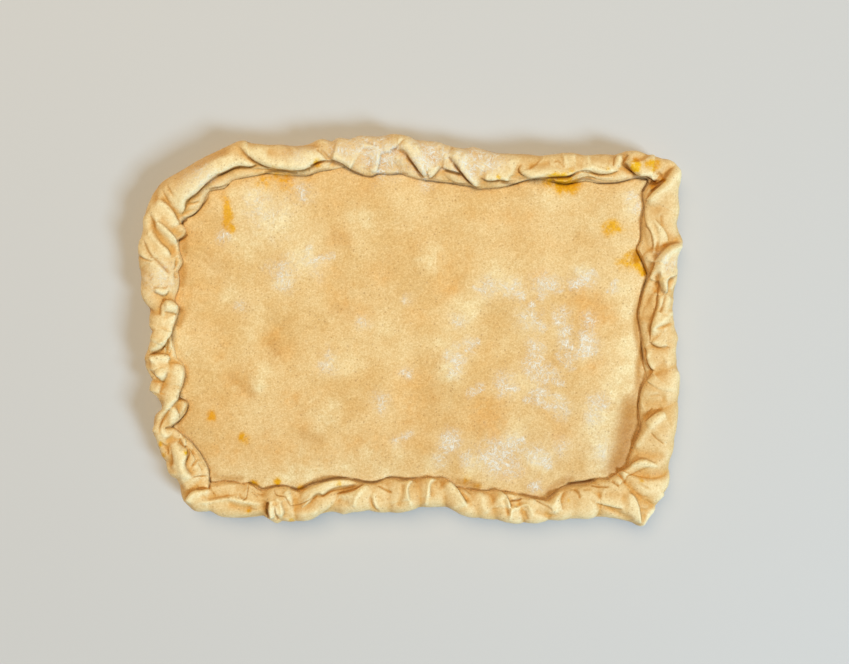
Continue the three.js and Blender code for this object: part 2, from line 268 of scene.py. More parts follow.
# Creases pressed into the dough: depth in millimetres and points.
CREASES = [
    (0.8, [(187, 203), (193, 204), (200, 202)]), (0.5, [(162, 190), (166, 198), (170, 204)]),
    (0.5, [(167, 185), (171, 192), (174, 197)]), (0.8, [(316, 149), (322, 154), (327, 160)]),
    (0.8, [(320, 150), (325, 154), (330, 160)]), (0.6, [(365, 141), (371, 144), (377, 147)]),
    (0.5, [(361, 149.5), (367, 150), (373, 149.5)]), (0.5, [(362, 167.5), (366, 168.5), (370, 166)]),
    (0.6, [(553, 163), (558, 162), (564, 168)]), (0.8, [(657, 175), (659, 173), (664, 177)]),
    (0.6, [(661, 214), (661, 220), (663, 227)]), (0.6, [(657, 241), (657, 248), (656.5, 253)]),
    (0.6, [(655, 329), (663, 326), (671, 323)]), (0.5, [(645, 417), (648, 412), (652, 408)]),
    (0.4, [(649, 396), (655, 395), (660, 395)]), (0.5, [(637, 481), (641, 484), (648, 488)]),
    (0.5, [(636, 493), (641, 496), (648, 497)]), (0.4, [(640, 509), (648, 510)]),
    (0.9, [(611, 481), (615, 484), (619, 486.5)]), (0.8, [(590, 484.5), (600, 486), (609, 487.5)]),
    (0.8, [(573, 487), (577, 491), (580, 498.5)]), (0.5, [(590, 498.5), (599, 505)]),
    (0.5, [(370, 495), (373, 507), (380, 511.5)]), (0.8, [(377, 484), (386, 489.5), (392, 492.5)]),
    (0.6, [(239, 493), (241, 497), (247, 499)]), (0.4, [(199, 494), (210, 499), (225, 496), (238, 494)]),
    (0.6, [(211, 483), (210.5, 488), (215, 496)]), (0.8, [(197, 488), (202, 487.5), (208, 487)]),
    (0.6, [(193, 441), (195, 447), (194, 453), (196, 459), (193, 464), (190, 469)]),
    (0.5, [(198, 462), (203, 470)]), (0.5, [(199, 452), (206, 467)]), (0.5, [(192, 466), (199, 458)]),
    (0.8, [(160, 442), (166, 450), (166.5, 455)]), (0.5, [(170, 446), (172, 460), (170.5, 468)]),
    (0.8, [(151, 370), (154, 374), (157, 379)]), (0.6, [(153, 287), (164, 287.5), (168, 285)]),
    (0.9, [(141, 256), (147, 259.5), (154, 261.5)]), (0.7, [(176, 260), (176, 266), (174, 270)]),
]

# Gaps where a fold stands off the lid or off another fold, painted with shade: half width in pixels and
# points.
GAPS = [
    (1.2, [(182, 222), (186, 218.5), (193, 215), (199, 210), (203, 204.5), (207, 199), (208.5, 193)]),
    (1.2, [(208.5, 190), (214, 188.3), (221, 187), (229, 184)]),
    (0.9, [(187, 203), (192, 196.5), (197, 193.5), (202, 188.5), (208, 181.5)]),
    (1.6, [(216, 176), (222, 174), (228, 171), (234, 168.5), (242, 168)]),
    (1.3, [(246, 155), (252, 160), (256, 162.5), (262, 165.5), (269, 168.5)]),
    (1.2, [(230, 168.5), (238, 167.5), (245, 168.3), (252, 167.3), (258, 164)]),
    (0.9, [(238, 179), (250, 176.8), (260, 175), (268, 173)]),
    (1.5, [(264, 173), (274, 171.2), (282, 171.2), (289, 172), (297, 174.5)]),
    (1, [(293, 175), (302, 175.7), (309, 175.3), (315, 172.5), (322, 170.5), (332, 169.5)]),
    (0.8, [(292, 170.5), (303, 169.8), (310, 166.5)]), (1.4, [(310, 166), (317, 163.5), (325, 161.5)]),
    (1.4, [(323, 162), (331, 162), (341, 165.5), (348, 168.8), (355, 172.3), (365, 176)]),
    (1.1, [(362, 175.3), (370, 176.7), (376, 174.5), (380, 173.5), (390, 174.3), (398, 173.5),
         (408, 174)]),
    (1.2, [(390, 150.5), (397, 148)]),
    (1.5, [(406, 157), (411, 162), (415, 167.5), (419, 174), (423, 179)]),
    (1.1, [(420, 178.5), (428, 180.5), (446, 182.5), (466, 184.5), (473, 187), (482, 188)]),
    (1.8, [(444, 170), (452, 172.3), (458, 174), (463, 175)]),
    (1.5, [(453, 163), (457, 168), (461, 173), (466, 179), (474, 186)]),
    (1.2, [(480, 178), (487, 181), (495, 181.3), (501, 180.8), (508, 182.5), (517, 184.5)]),
    (1.4, [(500, 182), (509, 184), (518, 183.5)]),
    (1.2, [(514, 184.5), (525, 180.5), (538, 178), (548, 178)]),
    (1.5, [(543, 178.5), (556, 177), (566, 176.8), (572, 175), (579, 171.5)]),
    (1.5, [(549, 180), (560, 183), (568, 183.5), (575, 181.5), (582, 179), (589, 179), (598, 182)]),
    (1, [(578, 171.8), (586, 170.7), (591, 172), (596, 174.5), (606, 175)]),
    (1.5, [(593, 181.3), (602, 183), (610, 183), (618, 182.5), (626, 180.5), (635, 178.3)]),
    (1.1, [(625, 158.5), (628.5, 154.5)]), (1.4, [(624.5, 162), (630, 170), (634, 174.5), (637, 177.5)]),
    (1.7, [(632, 177), (641, 178), (650, 180)]), (1.7, [(646, 182), (656, 184), (666, 179)]),
    (1.7, [(649, 182), (645.5, 187), (642.5, 192)]), (1.6, [(650, 192), (656, 187.5), (662, 182.5)]),
    (1.1, [(643, 188), (642.5, 197), (644, 205), (643, 212), (641.5, 220)]),
    (0.8, [(641.5, 218), (641, 238), (637, 250)]),
    (1.4, [(636, 249), (641, 258), (645, 268), (648.5, 277)]),
    (1.5, [(650, 272), (647.5, 279), (644.5, 286), (641.5, 295), (640, 302)]),
    (1, [(641, 296), (638.8, 308), (638.3, 317), (639.5, 329), (641.5, 342)]),
    (1.2, [(641, 336), (642.5, 350), (644.5, 360), (648, 367.5), (653.5, 371)]),
    (1.1, [(646, 377), (641, 388), (639, 398), (638, 410), (638.5, 420), (640.5, 431)]),
    (0.8, [(640, 429), (635, 438), (631, 447), (628, 457), (627, 467)]),
    (1, [(659, 280), (657.5, 294), (657, 305), (653, 317), (650, 329), (649.5, 341)]),
    (0.8, [(678, 275), (669, 279), (667.5, 285), (667, 292), (663.5, 297)]),
    (0.9, [(648, 341.5), (655, 346.5), (660, 347.5), (665, 346.5), (671, 347.5)]),
    (0.8, [(644, 422), (651, 416), (657, 411), (663, 407)]),
    (0.9, [(651, 432.5), (655, 437), (659, 440.5), (663.5, 444)]),
    (0.6, [(645, 468.5), (637, 471), (631, 474), (626, 478), (619.5, 486)]),
    (2, [(181.5, 225), (183, 221.5), (187, 219)]), (1.5, [(176, 241), (183, 238.3), (187.5, 234)]),
    (0.8, [(160, 295.5), (167, 295)]),
    (1.1, [(167, 343), (163, 348), (159, 350.5), (153, 353), (148.5, 355)]),
    (1.1, [(160, 381), (163.5, 382)]), (0.8, [(180, 392), (177, 398), (188, 400.5)]),
    (1, [(188.5, 404), (186, 413), (181, 419), (176, 423), (170, 427)]),
    (1.3, [(165, 428), (174, 426.3)]), (0.9, [(180, 438), (183.5, 445), (188, 446.3)]),
    (1, [(183, 434), (190, 440), (195, 446), (201, 454), (206, 462), (209, 470), (209.5, 480)]),
    (1, [(189, 448), (189.5, 454), (186, 461), (186, 468), (190, 473)]),
    (0.9, [(192, 477.5), (199, 476), (208, 475)]), (1.4, [(209.5, 477), (210, 484), (208.5, 489)]),
    (0.8, [(210, 482), (224, 480.7), (240, 482.5)]),
    (0.8, [(248.5, 484), (247.5, 492), (246, 498), (242, 501)]),
    (1.6, [(248, 482.5), (256, 485.5), (263, 489.5)]), (0.7, [(251, 491), (258, 497)]),
    (0.8, [(247, 507), (251, 508.5), (257, 510)]),
    (1.2, [(261, 489.3), (268, 488.3), (275, 486.5), (283, 485.8), (291, 487), (298, 490)]),
    (1.6, [(290, 487.5), (299, 489.7), (308, 486)]),
    (1.6, [(302, 488), (312, 484), (322, 481.5), (333, 479), (342, 478.3), (352, 479)]),
    (0.9, [(274, 490), (276, 494.5), (280, 496), (285, 497), (288, 502), (291, 507)]),
    (0.8, [(289, 506), (298, 504.5), (304, 502.5), (313, 498)]),
    (1.2, [(311, 499), (316, 495), (319, 494), (323, 495.5), (327, 493), (332, 489.5), (339, 487),
         (356, 484.5)]),
    (1, [(336, 493.5), (345, 491.5), (352, 489.5), (358, 487), (365, 482.5)]),
    (1.8, [(268, 502), (267, 510), (268.5, 518)]), (1.2, [(274.5, 507), (276, 514), (279, 519)]),
    (1.5, [(350, 479), (358, 480.5), (364, 482), (372, 482.8), (378, 481.5), (385, 479)]),
    (1.5, [(383, 479.3), (390, 477.5), (398, 478), (404, 479.5), (410, 478.8), (419, 477.8)]),
    (0.9, [(415, 478), (430, 477.2), (440, 477.2), (447, 478.5), (451, 481.5), (456.5, 487)]),
    (0.9, [(455, 487), (463, 486.8), (470, 488.5), (478, 490), (485, 491), (491, 489.8), (497, 489.8),
         (504, 492)]),
    (0.8, [(502, 491.8), (514, 492)]), (1.2, [(510, 500.5), (516, 499.8), (522, 498)]),
    (1, [(518, 493.5), (526, 495.5), (534, 497.5), (541, 499), (547, 499.5)]),
    (1.1, [(545, 500), (550, 496.5), (556, 491.5), (562, 487), (570, 484.5)]),
    (2.1, [(566, 484.5), (578, 483), (586, 482), (596, 480)]),
    (0.8, [(593, 480.3), (601, 478.5), (610, 479.5)]),
]

# Soft ridges and, with a rise below zero, hollows of the rim: rise in millimetres, half width in
# pixels and points.
SWELLS = [
    (1.2, 6, [(178, 200), (190, 187), (203, 176), (214, 168), (226, 161), (236, 157)]),
    (-1, 5, [(170, 178), (190, 168), (212, 157), (230, 149)]), (-0.8, 2.5, [(217, 162), (221, 171)]),
    (1, 4, [(258, 147), (262, 156), (270, 162), (284, 164)]),
    (1.2, 6, [(287, 162), (300, 158), (314, 153)]), (-1.1, 6, [(266, 152), (280, 153), (293, 149)]),
    (-1.1, 4, [(364, 152), (369, 160), (368, 168)]),
    (0.9, 3.5, [(377, 147), (378.5, 158), (376, 168), (369, 173)]),
    (0.9, 2.5, [(360, 147), (370, 147), (379, 149)]), (1, 4, [(382, 156), (395, 157), (407, 157)]),
    (-1, 4, [(381, 169), (395, 169), (411, 168)]), (-1.3, 3, [(431, 153), (433, 160), (435, 167)]),
    (-0.8, 2.5, [(423, 165), (429, 172)]), (1.2, 4, [(415, 145), (421, 160), (425, 172)]),
    (1, 3, [(440, 150), (447, 159), (455, 167)]), (1.2, 5, [(462, 155), (474, 164), (490, 168)]),
    (1, 4, [(509, 160), (513, 168), (512, 177)]),
    (1.5, 3, [(525, 174.5), (536, 173), (546, 171), (558, 172.5), (570, 173)]),
    (-1, 3, [(528, 165), (540, 164.5), (550, 162.5)]), (1.3, 6, [(562, 159), (576, 158)]),
    (-1, 2, [(556, 164), (559, 168.5), (566, 169.5), (575, 167)]),
    (1.2, 2.2, [(577, 170), (584, 168), (592, 167), (602, 170), (613, 170)]),
    (1.2, 1.8, [(575, 175.5), (582, 173), (588, 173.5), (592, 176), (600, 178), (614, 178)]),
    (1.6, 1, [(552, 181), (560, 180), (566, 180.5), (571, 178), (577, 174)]),
    (-1, 4, [(588, 158), (601, 158.5), (613, 159)]), (1.3, 2.5, [(621, 152), (619.5, 160), (620, 168)]),
    (-0.9, 2.5, [(631, 158), (641, 158.5), (650, 155)]), (1.1, 3, [(638, 172), (650, 176), (660, 177)]),
    (1.2, 2, [(648.5, 186), (646, 193), (645.5, 201)]), (1, 6, [(676, 168), (678, 190), (677, 215)]),
    (-1.2, 2.5, [(652, 221), (657, 235), (657, 252)]),
    (1.4, 3, [(683, 242), (675, 247), (667, 251), (662, 259), (661, 270), (663, 282), (665.5, 295)]),
    (-1.5, 2.5, [(671, 277), (669, 285), (669, 292)]), (-1.2, 4, [(656, 272), (658, 284), (656, 293)]),
    (-1, 5, [(646, 290), (648, 305), (645, 322)]), (-1, 3, [(668, 296), (664, 305), (659, 313)]),
    (1.5, 3, [(677, 288), (674, 304), (667, 315), (659, 322), (653, 331)]),
    (-0.6, 2, [(657, 329), (664, 326), (673, 323)]), (-1, 7, [(648, 356), (657, 362), (665, 360)]),
    (1.2, 8, [(678, 370), (671, 382), (668, 392)]), (-1.5, 6, [(642, 404), (652, 402), (667, 398)]),
    (1.4, 4, [(664, 411), (653, 424), (645, 435), (635, 449)]),
    (-1.5, 5, [(631, 455), (645, 454), (666, 456)]),
    (0.9, 3.5, [(620, 478), (627, 470.5), (634, 465.5), (642, 462), (650, 462), (662, 469)]),
    (-1.2, 6, [(627, 484), (638, 478), (650, 480)]), (2.2, 5, [(664, 493), (658, 500), (653, 506)]),
    (1.2, 1.8, [(631, 491), (636, 499), (638.5, 510), (639.5, 523)]),
    (-1, 6, [(602, 494), (618, 496), (630, 500)]),
    (-1.4, 3, [(603, 507), (612, 510), (622, 514), (633, 519)]),
    (1.5, 3, [(151, 211), (158, 221), (166, 229), (173, 236), (177.5, 244), (179, 254), (181, 263)]),
    (-1.3, 3.5, [(150, 222), (155, 231), (162, 237), (168, 243), (173.5, 250), (174, 259)]),
    (1.4, 3, [(145, 234), (149, 245), (153, 253), (160, 260), (167, 267), (171, 274), (171, 284)]),
    (-1, 2.5, [(143, 242), (147, 252), (153, 260)]), (-1.1, 4, [(141, 268), (148, 275), (153, 280)]),
    (-1.2, 1.8, [(177, 257), (176.5, 266)]), (-1.2, 1.8, [(176.5, 271), (177.5, 278)]),
    (0.6, 4, [(154, 290), (162, 291), (170, 288)]), (1.2, 3, [(165, 306), (172, 306), (178, 308)]),
    (1.3, 3, [(175, 314), (173, 323), (168, 333)]),
    (1.3, 2, [(172, 328), (167, 336), (161, 343), (153, 350)]),
    (1.6, 1.8, [(170, 333), (172, 343), (174, 351), (174.5, 357)]), (-1.6, 1.6, [(168, 338), (168, 354)]),
    (1, 1.4, [(165.5, 339), (164.5, 350)]), (1, 2, [(150, 357), (156, 362), (158, 369)]),
    (1.3, 3.5, [(161, 368), (162, 374), (161, 378)]), (1.2, 5, [(178, 362), (180, 374), (176, 386)]),
    (1.3, 4, [(178, 388), (173, 398), (167, 410)]), (-1, 4, [(161, 392), (163, 400), (162, 408)]),
    (1.4, 3.5, [(174, 407), (172, 416), (171, 424)]), (1.2, 3, [(184, 401), (183, 409), (179, 417)]),
    (1.4, 2.2, [(167, 418), (162, 425), (163, 432), (168, 438)]),
    (1, 1.8, [(180, 432), (184, 439), (187.5, 445)]),
    (1.7, 4, [(174, 440), (178, 452), (182, 462), (184, 470), (188, 478)]),
    (-1.7, 4, [(165, 444), (170, 456), (172, 466)]), (1, 2, [(166.5, 462), (170, 471), (178, 474.5)]),
    (1.2, 2.5, [(186, 501), (191, 494), (198, 490)]), (-1.2, 3.5, [(199, 495), (212, 497), (230, 495.5)]),
    (1.4, 2, [(196, 502), (208, 501.5), (218, 499.5), (228, 498.5), (238, 500), (250, 502), (264, 505)]),
    (-1.3, 3, [(227, 503), (238, 506.5), (252, 509)]), (0.9, 4, [(214, 487), (226, 486), (236, 486)]),
    (1.2, 3, [(285, 492), (289, 497), (288, 501)]),
    (1.1, 2.5, [(298, 500), (304, 494), (313, 489.5), (323, 486), (335, 482.5), (348, 481)]),
    (1.2, 1.2, [(301, 508), (305, 505), (310, 501)]), (1.5, 2.2, [(271, 500), (270.5, 508), (272, 517)]),
    (1.4, 2.5, [(274, 499), (280, 502), (282, 510), (280, 518)]),
    (1.1, 3, [(290, 514), (304, 513), (318, 511)]), (-0.9, 4, [(338, 499), (344, 502), (349, 501)]),
    (1.1, 2, [(362, 491), (356, 497), (353, 506)]), (-0.7, 2.5, [(369, 496), (371, 504), (377, 511)]),
    (1.1, 2, [(374, 491), (374.5, 499), (377, 509)]), (-1.1, 3, [(403, 484), (401, 496), (397, 506)]),
    (1.2, 2.5, [(415, 480), (409, 486), (407.5, 491), (408.5, 497), (412, 505)]),
    (1.2, 2, [(435, 479), (430, 483), (428, 489), (427, 496), (425, 506)]),
    (1.4, 2.2, [(449, 481), (455, 488), (460, 496), (467, 506)]),
    (-1, 2.5, [(459, 492), (466, 498), (472, 506)]),
    (1.1, 3, [(477, 490), (481, 497), (483, 504), (487, 514)]),
    (1.3, 1.8, [(498, 491), (505, 496.5), (508, 502), (510, 509)]),
    (-1.5, 2, [(502, 499), (506, 507), (508.5, 515)]), (1, 2, [(504, 495), (511, 495), (519, 495.5)]),
    (1.4, 1.6, [(510, 520), (511, 511), (514, 508), (518, 508), (522, 505.5), (526, 505), (529, 508),
         (533, 517)]),
    (-1.1, 2, [(524, 510), (527.5, 520)]),
    (1.1, 2.5, [(526, 500), (538, 503.5), (547, 507.5), (556, 512)]),
    (-1.1, 2.5, [(534, 510), (545, 514.5), (552, 518)]),
    (1.3, 3, [(562, 487), (557, 495), (555.5, 503), (556, 516)]),
    (-0.9, 2, [(581, 490), (590, 489), (597, 493), (602, 499)]),
]

# The same on the lid: curls beside the rim, and low swells and hollows.
LID_SWELLS = [
    (0.8, 2, [(177, 339), (179, 349)]), (0.8, 2, [(256, 480), (262, 489)]),
    (-0.8, 6, [(566, 480), (594, 482)]), (-0.5, 1.2, [(187, 250), (183, 258)]),
    (0.5, 1.5, [(305, 248), (309, 246), (312, 249)]), (-0.6, 1.5, [(592, 465.5), (595, 466.5)]),
    (-0.7, 6, [(240, 383), (250, 397)]), (-0.6, 6, [(270, 338), (278, 354)]),
    (0.8, 6, [(255, 368), (262, 388)]), (-0.6, 7, [(286, 395), (302, 414)]),
    (0.4, 9, [(337, 352), (351, 373)]), (0.6, 9, [(314, 402), (331, 423)]),
    (-0.7, 10, [(482, 404), (500, 432)]), (-0.6, 9, [(584, 302), (606, 323)]),
    (-0.5, 9, [(444, 260), (449, 292)]), (0.6, 8, [(446, 360), (450, 382)]),
    (0.6, 9, [(461, 304), (475, 317)]),
]

# Parts of the lid that lie low, beside the rim and between lumps, painted darker as the shade and the
# rim's
# shadow that fall there: strength, half width in pixels and points.
LOW_LID = [
    (0.35, 4.5, [(229, 373), (242, 386), (258, 398)]), (0.3, 6, [(267, 338), (274, 348), (280, 357)]),
    (0.3, 6, [(299, 430), (312, 437), (325, 441)]), (0.25, 7, [(330, 232), (340, 238), (352, 240)]),
    (0.2, 7, [(205, 250), (212, 262), (222, 272)]), (0.2, 7, [(330, 306), (343, 312), (356, 316)]),
    (1, 11, [(633, 394), (629, 416), (627, 430), (624, 446), (618, 463), (608, 478)]),
    (0.8, 3.5, [(643, 292), (636.5, 312), (637, 335), (640.5, 352), (638.5, 368), (638, 384),
         (634, 398)]),
    (0.8, 4, [(640, 245), (636, 254), (637, 264)]), (0.7, 4, [(183, 262), (183, 275), (182, 288)]),
    (0.7, 4, [(181, 306), (182, 316), (177, 328)]), (0.6, 4, [(184, 232), (184, 243), (185, 257)]),
    (0.5, 2.5, [(186, 364), (187, 378), (182, 390)]), (0.7, 4, [(455, 482), (467, 483), (482, 487)]),
    (0.7, 4, [(545, 494), (553, 488), (562, 482), (575, 478)]),
    (0.5, 3, [(188, 412), (179, 425), (186, 433)]), (0.5, 3, [(213, 474), (222, 478), (245, 478)]),
]

# Dabs of colour: middle in pixels, radius, strength. Loose flour first.
FLOUR = [
    (302, 190, 10, 0.5), (265, 212, 18, 0.35), (222, 237, 7, 0.4), (282, 270, 12, 0.4),
    (312, 262, 12, 0.35), (285, 282, 8, 0.4), (240, 307, 7, 0.35), (362, 323, 6, 0.45),
    (328, 362, 9, 0.45), (378, 401, 9, 0.45), (408, 374, 6, 0.45), (407, 299, 5, 0.45),
    (397, 441, 5, 0.45), (309, 248, 3, 0.5), (428, 184, 6, 0.4), (628, 197, 5, 0.6), (636, 205, 8, 0.4),
    (580, 280, 9, 0.75), (545, 285, 10, 0.55), (512, 288, 9, 0.55), (490, 289, 9, 0.5),
    (522, 296, 4, 0.8), (542, 297, 3, 1), (531, 304, 2.5, 1), (612, 290, 5, 0.7), (458, 320, 7, 0.5),
    (528, 319, 11, 0.55), (560, 318, 7, 0.65), (564, 332, 6, 0.65), (590, 321, 8, 0.55),
    (588, 345, 10, 1), (565, 345, 5, 0.7), (569, 358, 6, 0.65), (533, 366, 10, 0.7), (535, 347, 8, 0.5),
    (505, 385, 9, 0.65), (455, 358, 8, 0.8), (455, 371, 7, 0.55), (470, 346, 6, 0.6), (480, 388, 4, 0.75),
    (470, 394, 4, 0.65), (545, 378, 12, 0.5), (535, 398, 8, 0.5), (560, 408, 8, 0.55),
    (598, 403, 9, 0.65), (596, 419, 8, 0.55), (600, 450, 10, 0.35), (451, 441, 9, 1), (512, 445, 9, 0.85),
    (496, 453, 14, 1), (484, 458, 5, 0.65), (545, 461, 7, 0.7), (548, 465, 3, 0.9), (533, 453, 8, 0.55),
    (468, 460, 7, 0.5), (440, 459, 8, 0.45), (535, 488, 6, 0.75), (515, 468, 10, 0.4),
    (560, 445, 10, 0.35), (370, 150, 20, 0.55), (388, 160, 14, 0.5), (425, 155, 16, 0.6),
    (442, 150, 14, 0.5), (470, 160, 17, 0.6), (492, 160, 13, 0.45), (340, 150, 12, 0.4),
    (300, 150, 14, 0.3), (200, 172, 16, 0.3), (668, 262, 12, 0.35), (155, 280, 14, 0.3),
]

# Orange oil that has come through from the filling.
OIL = [
    (228, 203, 5, 0.5), (227, 209, 4, 0.9), (229, 214, 5, 0.9), (226, 219, 4, 0.8), (231, 226, 5, 0.95),
    (224, 224, 4, 0.6), (232, 231, 3, 0.7), (224, 195, 5, 0.4), (270, 178, 10, 0.4), (285, 182, 10, 0.35),
    (261, 180, 8, 0.4), (293, 187, 7, 0.3), (310, 180, 5, 0.25), (571, 188, 8, 0.9), (562, 185, 8, 0.7),
    (552, 183, 7, 0.55), (578, 185, 6, 0.6), (567, 191, 4, 0.6), (613, 227, 7.5, 0.75),
    (606, 231, 7, 0.55), (619, 231, 6, 0.45), (633, 262, 7, 0.95), (636, 254, 4, 0.8), (640, 270, 5, 0.7),
    (644, 274, 4, 0.9), (627, 263, 8, 0.45), (621, 259, 8, 0.3), (213, 418, 4.2, 1), (212, 413, 3, 1),
    (241, 438, 4, 1), (246, 439, 5, 0.4), (280, 481, 4, 1), (279, 477, 4, 0.4), (477, 485, 4, 0.5),
    (466, 481, 7, 0.45), (254, 484, 4, 0.8), (300, 489, 4, 0.9), (636, 163, 4.5, 0.95),
    (635, 169, 5, 0.95), (650, 164, 4.5, 0.7), (656, 162, 4, 0.7), (655, 169, 5, 0.5), (608, 168, 3, 0.4),
    (319, 163, 4, 0.9), (186, 452, 3, 0.85), (160, 444, 2.5, 0.9), (163, 456, 3, 0.9),
    (641, 480, 3.5, 0.5), (568, 501, 2.5, 0.5), (249, 509, 3.5, 0.7), (498, 176, 2.5, 0.9),
    (653, 188, 3, 1), (657, 185, 3, 1), (663, 181, 3, 0.8), (572, 171, 4, 0.5), (556, 179, 6, 0.5),
    (565, 179, 5, 0.6), (340, 484, 4, 0.5), (290, 520, 3, 0.9), (518, 505, 2.5, 0.4), (665, 246, 4, 0.5),
    (280, 176, 8, 0.35),
]

# Streaks of flour: strength, half width in pixels and points.
FLOUR_STREAKS = [
    (0.8, 5, [(568, 285), (580, 281), (596, 271)]), (0.7, 2, [(606, 292), (611, 286), (616, 278)]),
    (0.7, 2.5, [(553, 312), (560, 325), (567, 340), (575, 353)]),
    (0.6, 4, [(519, 315), (532, 321), (547, 331)]), (1, 5, [(583, 335), (588, 345), (592, 355)]),
    (0.6, 2, [(587, 317), (593, 328)]), (0.65, 3, [(529, 345), (533, 357), (531, 372)]),
    (0.75, 3, [(497, 383), (508, 388), (521, 389)]), (0.8, 1.5, [(465, 397), (474, 393), (484, 388)]),
    (0.55, 3.5, [(522, 399), (545, 404), (571, 413)]), (0.55, 3, [(528, 391), (548, 394), (566, 404)]),
    (0.75, 3.5, [(443, 351), (452, 358), (463, 367)]), (0.7, 5, [(478, 460), (493, 454), (510, 447)]),
    (0.9, 2.5, [(505, 448), (514, 443), (525, 439)]), (0.9, 2.5, [(529, 451), (540, 457), (551, 467)]),
    (0.65, 2.5, [(463, 352), (471, 347), (479, 341)]), (0.6, 4, [(496, 284), (510, 288), (525, 297)]),
    (0.6, 2.5, [(474, 287), (488, 292)]), (0.6, 3, [(302, 263), (318, 260), (336, 255)]),
    (0.6, 3, [(278, 266), (286, 270), (287, 281)]), (0.7, 3, [(300, 187), (302, 194), (303, 202)]),
    (0.7, 2.5, [(217, 240), (224, 236), (229, 234)]), (0.5, 3, [(397, 441), (404, 437), (414, 430)]),
    (0.5, 2, [(540, 286), (556, 290), (566, 287)]), (0.5, 3, [(558, 352), (566, 362), (574, 370)]),
    (0.5, 3, [(542, 372), (552, 380), (566, 384)]),
]

# Dough that shows paler: partly under a breath of flour, partly painted light on slopes and rim flanks
# that face the light.
PALE_AND_LIGHT = [
    (172, 318, 15, 0.6), (174, 365, 17, 0.6), (172, 402, 15, 0.6), (162, 276, 14, 0.5),
    (179, 455, 12, 0.5), (258, 205, 24, 0.6), (280, 222, 24, 0.6), (248, 245, 18, 0.5),
    (303, 257, 14, 0.6), (283, 280, 10, 0.6), (363, 217, 14, 0.5), (428, 257, 16, 0.6),
    (468, 310, 14, 0.7), (498, 280, 18, 0.6), (553, 200, 16, 0.4), (628, 208, 12, 0.6),
    (583, 272, 9, 0.6), (448, 370, 12, 0.8), (450, 345, 14, 0.6), (513, 430, 13, 0.7),
    (538, 463, 13, 0.6), (598, 420, 14, 1), (602, 447, 14, 1), (602, 470, 11, 0.8), (345, 362, 15, 0.4),
    (323, 412, 15, 0.6), (260, 372, 11, 0.5), (230, 300, 10, 0.45), (298, 465, 14, 0.5),
    (365, 455, 12, 0.5), (395, 452, 12, 0.5), (630, 345, 12, 1), (630, 370, 12, 0.9), (620, 392, 14, 0.9),
    (622, 290, 11, 0.6), (528, 325, 13, 0.4), (560, 335, 12, 0.4), (523, 385, 12, 0.45),
    (445, 440, 9, 0.5), (600, 225, 18, 0.35), (385, 330, 12, 0.35), (320, 472, 10, 0.5),
    (245, 470, 10, 0.3), (475, 465, 12, 0.5), (560, 400, 12, 0.3), (270, 481, 8, 0.6), (290, 479, 8, 0.6),
    (310, 476, 8, 0.6), (346, 470, 9, 0.5), (384, 471, 9, 0.5), (433, 466, 10, 0.5), (257, 386, 6, 0.6),
    (628, 312, 10, 0.6), (616, 420, 12, 0.5), (310, 495, 20, 0.3), (350, 492, 20, 0.3),
    (390, 492, 20, 0.3), (430, 492, 20, 0.3), (470, 497, 20, 0.3), (510, 503, 18, 0.3),
    (523, 514, 9, 0.6), (560, 500, 20, 0.3), (605, 508, 14, 0.5), (520, 165, 16, 0.3),
    (555, 165, 16, 0.3), (590, 166, 16, 0.3), (620, 170, 12, 0.3), (168, 345, 15, 0.3),
    (170, 385, 15, 0.3),
]

# Dough that shows warmer and darker: partly its own tone without flour, partly painted shade beside the
# rim, in hollows and over the lid's lower part.
TAN_AND_SHADE = [
    (338, 240, 14, 0.5), (330, 275, 14, 0.4), (340, 298, 14, 0.55), (360, 312, 13, 0.5),
    (383, 275, 14, 0.5), (445, 264, 17, 0.75), (448, 290, 13, 0.75), (423, 317, 15, 0.4),
    (413, 385, 18, 0.5), (414, 412, 14, 0.4), (422, 445, 10, 0.4), (486, 411, 19, 1), (498, 428, 14, 0.9),
    (540, 273, 7, 0.5), (588, 306, 16, 1), (604, 320, 13, 0.8), (592, 368, 10, 0.7), (274, 338, 9, 0.8),
    (284, 355, 8, 0.6), (222, 350, 11, 0.5), (236, 380, 10, 0.7), (243, 394, 7, 0.5), (292, 402, 10, 0.6),
    (302, 425, 8, 0.5), (208, 250, 16, 0.4), (205, 285, 16, 0.35), (205, 330, 14, 0.35),
    (215, 415, 14, 0.5), (230, 448, 18, 0.5), (265, 440, 12, 0.3), (508, 470, 9, 0.5), (524, 473, 8, 0.5),
    (561, 432, 10, 0.5), (548, 410, 8, 0.4), (488, 350, 11, 0.35), (470, 216, 9, 0.3),
    (490, 216, 10, 0.4), (512, 217, 10, 0.4), (534, 217, 9, 0.3), (186, 236, 10, 0.6),
    (183, 300, 12, 0.6), (183, 272, 8, 0.5), (545, 245, 16, 0.25), (365, 190, 14, 0.3),
    (330, 200, 14, 0.3), (285, 455, 14, 0.5), (320, 457, 14, 0.4), (356, 447, 13, 0.5),
    (375, 446, 13, 0.5), (394, 447, 12, 0.4), (662, 320, 16, 0.3), (662, 350, 16, 0.3),
    (662, 380, 16, 0.3), (225, 158, 20, 0.3), (630, 505, 16, 0.3), (640, 318, 6, 0.5), (643, 300, 6, 0.5),
    (420, 230, 14, 0.25), (300, 440, 60, 0.2), (400, 430, 60, 0.2),
]

# Lines round the part: steps between two points of the seal line and of a line traced in the picture,
# places along the seal line that are tried for each point of such a line, how much a far place is held
# back, the farthest one in millimetres, and over how many neighbours the rim's two borders are evened
# out. Then the number of points that are worked on at once.
SEAL_STEPS = 48
TRACED_STEPS = 12
SEAL_PLACES = 4000
FAR_SHARE = 0.02
FARTHEST = 45
OUTER_EVENING = 3
INNER_EVENING = 2
CHUNK = 4000

# Strokes: distance in pixels between the points of their paths, share of the length over which each end
# fades, and how many half widths a soft one reaches.
STROKE_STEP = 0.7
STROKE_TAPER = 0.16
STROKE_SPREAD = 3

